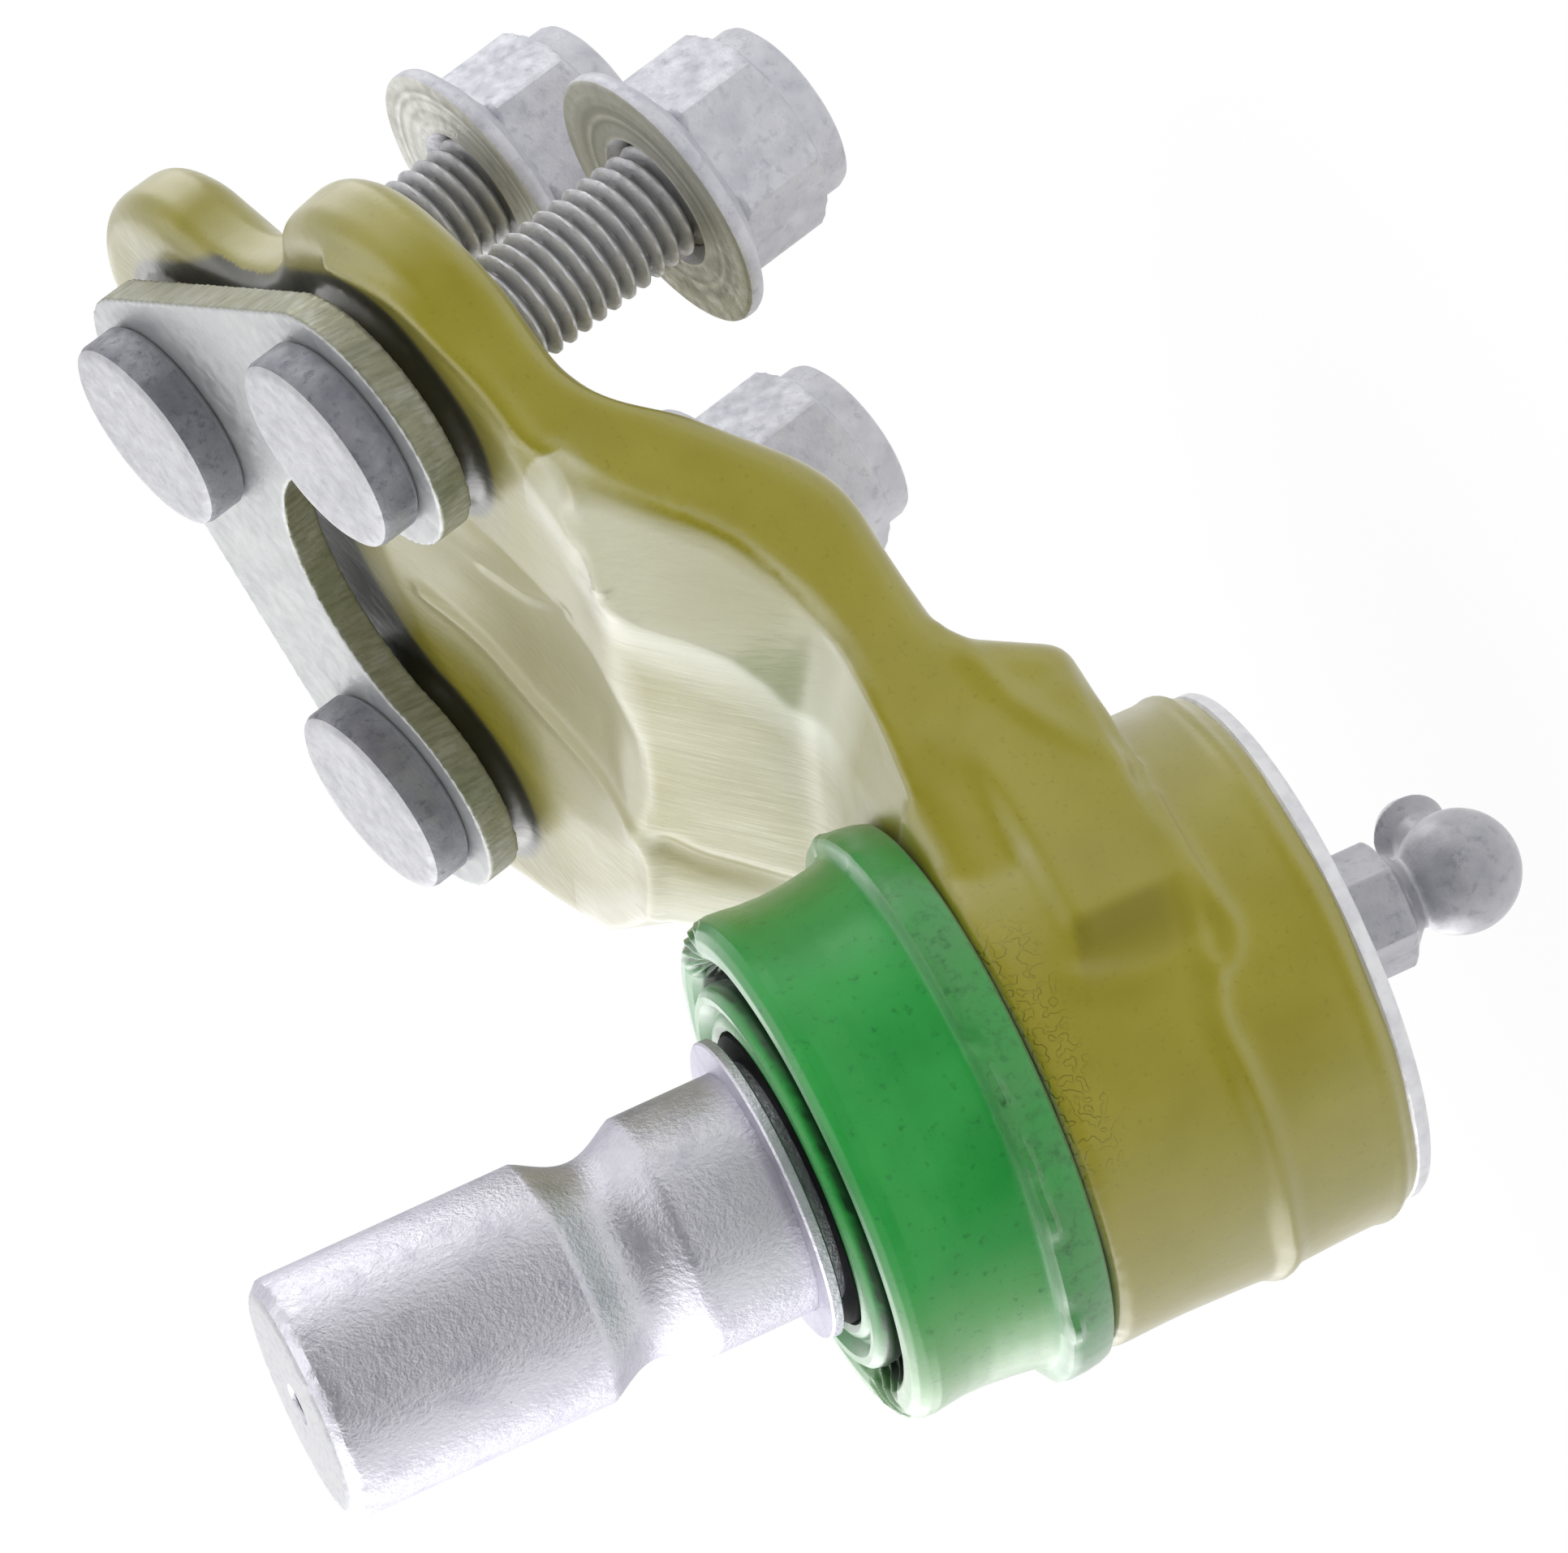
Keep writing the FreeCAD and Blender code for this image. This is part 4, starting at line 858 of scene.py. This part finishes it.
bead_rows = [(20.0, 10.9), (22.2, 10.85), (22.6, 11.1), (22.85, 11.8), (23.05, 13.0), (23.1, 14.2),
             (22.95, 14.7), (22.5, 14.95), (21.75, 15.1), (21.45, 15.4), (21.2, 16.3), (20.9, 18.5),
             (20.75, 20.5), (20.8, 22.5)]
fold_rows = [(20.8, 22.5), (21.0, 24.0), (21.1, 25.0), (21.0, 25.9), (20.6, 26.6), (19.9, 27.05),
             (19.0, 27.15), (18.3, 26.9), (17.8, 26.2), (17.5, 25.2), (17.3, 24.0), (16.9, 23.1)]
inner_rows = [(16.9, 23.1), (16.3, 22.8), (15.8, 23.3), (15.6, 24.5), (15.3, 24.8), (15.1, 24.0),
              (15.2, 22.5), (16.2, 21.7), (17.6, 21.7), (18.2, 21.2), (18.4, 20.0), (18.7, 18.0),
              (19.6, 16.2), (20.0, 15.4), (21.3, 14.6), (21.4, 11.6), (20.0, 11.2), (20.0, 10.9)]
boot_rows = (sampled(bead_rows, 0.45)[:-1] + sampled(fold_rows, 0.13)[:-1]
             + sampled(inner_rows, 0.45)[:-1])
boot = turned("boot_shell", boot_rows, 240, boot_shape, None, ((323.0, 353.0, 0.4), (127.0, 157.0, 0.4)))
spots = points_of(boot.data)
across = np.hypot(spots[:, 0], spots[:, 1])
turned_to = np.degrees(np.arctan2(spots[:, 1], spots[:, 0])) % 360.0
patchy = np.array([0.75 + 0.5 * noise.noise(Vector(point) * 0.25) for point in spots])
on_bead = ramp(spots[:, 2], 15.2, 14.7) * (across > 21.6) * (1.0 - 0.8 * ramp(turned_to, 283.0, 297.0))
store(boot.data, "dusty", on_bead * patchy)
# painted shade in the groove under the fold and in the creases' troughs
in_groove = ramp(across, 18.1, 17.6) * ramp(spots[:, 2], 26.4, 25.8)
crease_shade = [creased(radius, level, math.radians(degrees))[1]
                if level > fold_low and radius > fold_inner else 0.0
                for radius, level, degrees in zip(across, spots[:, 2], turned_to)]
store(boot.data, "groove", np.maximum(in_groove, 0.9 * np.array(crease_shade)))
# painted light on the boot's side between about 100 and 212 degrees round its axis, above the bead
lit_low_side = ramp(turned_to, 212.0, 174.0) * ramp(turned_to, 100.0, 138.0) * ramp(spots[:, 2], 15.0, 16.0)
store(boot.data, "pale", 0.55 * lit_low_side)
boot.data.materials.append(green_rubber.material)
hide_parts("dust_boot")
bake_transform(boot)
dress("boot_clamp_ring", spring_steel)


# Sealing lip: the boot's mouth, moulded round a steel insert, with two soft lips on the stud.
# Its outer wall lies in the dark of the boot's fold, and its lower part is painted with that shade.
lip_rows = [(12.3, 25.6), (13.2, 25.5), (15.6, 25.5), (16.1, 25.9), (16.2, 26.8), (16.0, 27.6), (15.5, 28.05),
            (14.9, 28.0), (14.5, 27.5), (14.2, 27.0), (13.8, 27.1), (13.4, 27.6), (12.9, 27.8), (12.4, 27.5),
            (12.2, 26.8), (12.3, 25.8)]
dark_outside, dark_below = 15.3, 27.35
lip = turned("boot_mouth", sampled(lip_rows, 0.3), 144)
spots = points_of(lip.data)
ragged = np.array([noise.noise(Vector(point) * 0.9) for point in spots])
# painted shade on the lip's outer wall below the fold's edge
store(lip.data, "groove", (np.hypot(spots[:, 0], spots[:, 1]) > dark_outside)
      * (dark_below + 0.15 * ragged - spots[:, 2]) / 0.2)
lip.data.materials.append(green_rubber.material)
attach(lip, "boot_lip")
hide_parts("boot_lip_ring")
shaded_steel = Finish("shaded_steel", (0.012, 0.012, 0.014), 0.6, 0.2)
shaded_steel.tint(shaded_steel.speckle(0.8), (0.02, 0.02, 0.022))
shaded_steel.set({"Specular IOR Level": 0.15})
shaded_steel.relief(shaded_steel.speckle(0.4), 0.01)
dress("boot_lip_insert", shaded_steel)


# Ball stud: forged and ground in one piece with its ball, satin plated. The pinch bolt's groove
# runs round the shank, the tip is chamfered and nicked, and a lathe centre is drilled in its end.
satin = Finish("satin_plating", (0.70, 0.69, 0.75), 0.4, 0.85)
satin.tint(satin.speckle(3.0, 6.0, 0.5, 0.7), (0.60, 0.59, 0.66))
satin.tint(satin.speckle(0.5, 5.0, 0.68, 0.76), (0.40, 0.40, 0.43))
satin.gloss(satin.speckle(0.8), 0.38, 0.48)
satin.set({"Specular Tint": (0.55, 0.54, 0.60, 1.0)})
satin.relief(satin.speckle(0.42, 3.0, 0.3, 0.7), 0.034)
satin.relief(satin.speckle(0.2, 2.0, 0.3, 0.7), 0.012)
turned_end = Finish("turned_end", (0.56, 0.56, 0.58), 0.5, 0.6)
turned_end.tint(turned_end.speckle(0.6, 4.0, 0.5, 0.75), (0.42, 0.42, 0.45))
turned_end.relief(turned_end.speckle(0.3, 3.0), 0.02)
drilled = Finish("drilled_centre", (0.10, 0.10, 0.12), 0.6, 0.6)
drilled.tint(drilled.speckle(0.5, 3.0, 0.5, 0.7), (0.22, 0.22, 0.24))
ball, neck, shank_wide = 13.5, 7.5, 10.0
groove_middle, groove_half, groove_deep = 42.8, 4.3, 1.75
groove_rows = []
for step in range(17):
    level = -groove_half + 2 * groove_half * step / 16
    cut = groove_deep * math.cos(level / groove_half * math.pi / 2) ** 1.15
    groove_rows.append((shank_wide - cut, groove_middle + level))
leave = math.acos(neck / ball)
ball_rows = [(ball * math.sin(part), -ball * math.cos(part))
             for part in np.linspace(0.0, math.pi / 2 + leave, 60)]
stud_rows = ball_rows + [(neck, 20.0), (7.9, 21.0), (9.0, 22.8), (9.7, 23.7), (shank_wide, 24.2),
                         (shank_wide, 30.0), (shank_wide, 38.0)]
stud_rows += groove_rows + sampled([(shank_wide, 47.4), (shank_wide, 68.0)], 1.0)
stud_rows += [(9.93, 68.4), (9.2, 69.15), (8.8, 69.35), (8.2, 69.4), (5.0, 69.42), (1.75, 69.4), (1.5, 69.1),
              (1.2, 68.2), (0.0, 65.9)]


def stud_shape(radius, level, angle):
    """Small nicks in the chamfer round the stud's end."""
    if 67.6 < level < 69.41 and radius > 7.0:
        spot = Vector((math.cos(angle) * 7, math.sin(angle) * 7, level * 1.5))
        nick = max(0.0, noise.noise(spot) - 0.1)
        return radius - 0.3 * nick, level - 0.2 * nick
    return radius, level


def end_finish(part):
    """0 for the plated shank, 1 for the turned end face and 2 for the centre drilled in it."""
    level, off = part.center.z / MM, part.center.xy.length / MM
    if level > 65.0 and off < 1.6:
        return 2
    return 1 if level > 69.2 and part.normal.z > 0.8 else 0


stud = turned("stud_body", stud_rows, 160, stud_shape)
for finish in (satin, turned_end, drilled):
    stud.data.materials.append(finish.material)
stud.data.polygons.foreach_set("material_index", [end_finish(part) for part in stud.data.polygons])
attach(stud, "stud")
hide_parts("ball_stud")
collar_rows = [(10.02, 28.95), (12.3, 28.95), (12.5, 29.1), (12.5, 29.8), (12.35, 29.98), (11.0, 30.0),
               (10.02, 30.0)]
collar = turned("stud_washer", collar_rows, 128)
collar.data.materials.append(satin.material)
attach(collar, "stud")
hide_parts("stud_collar")
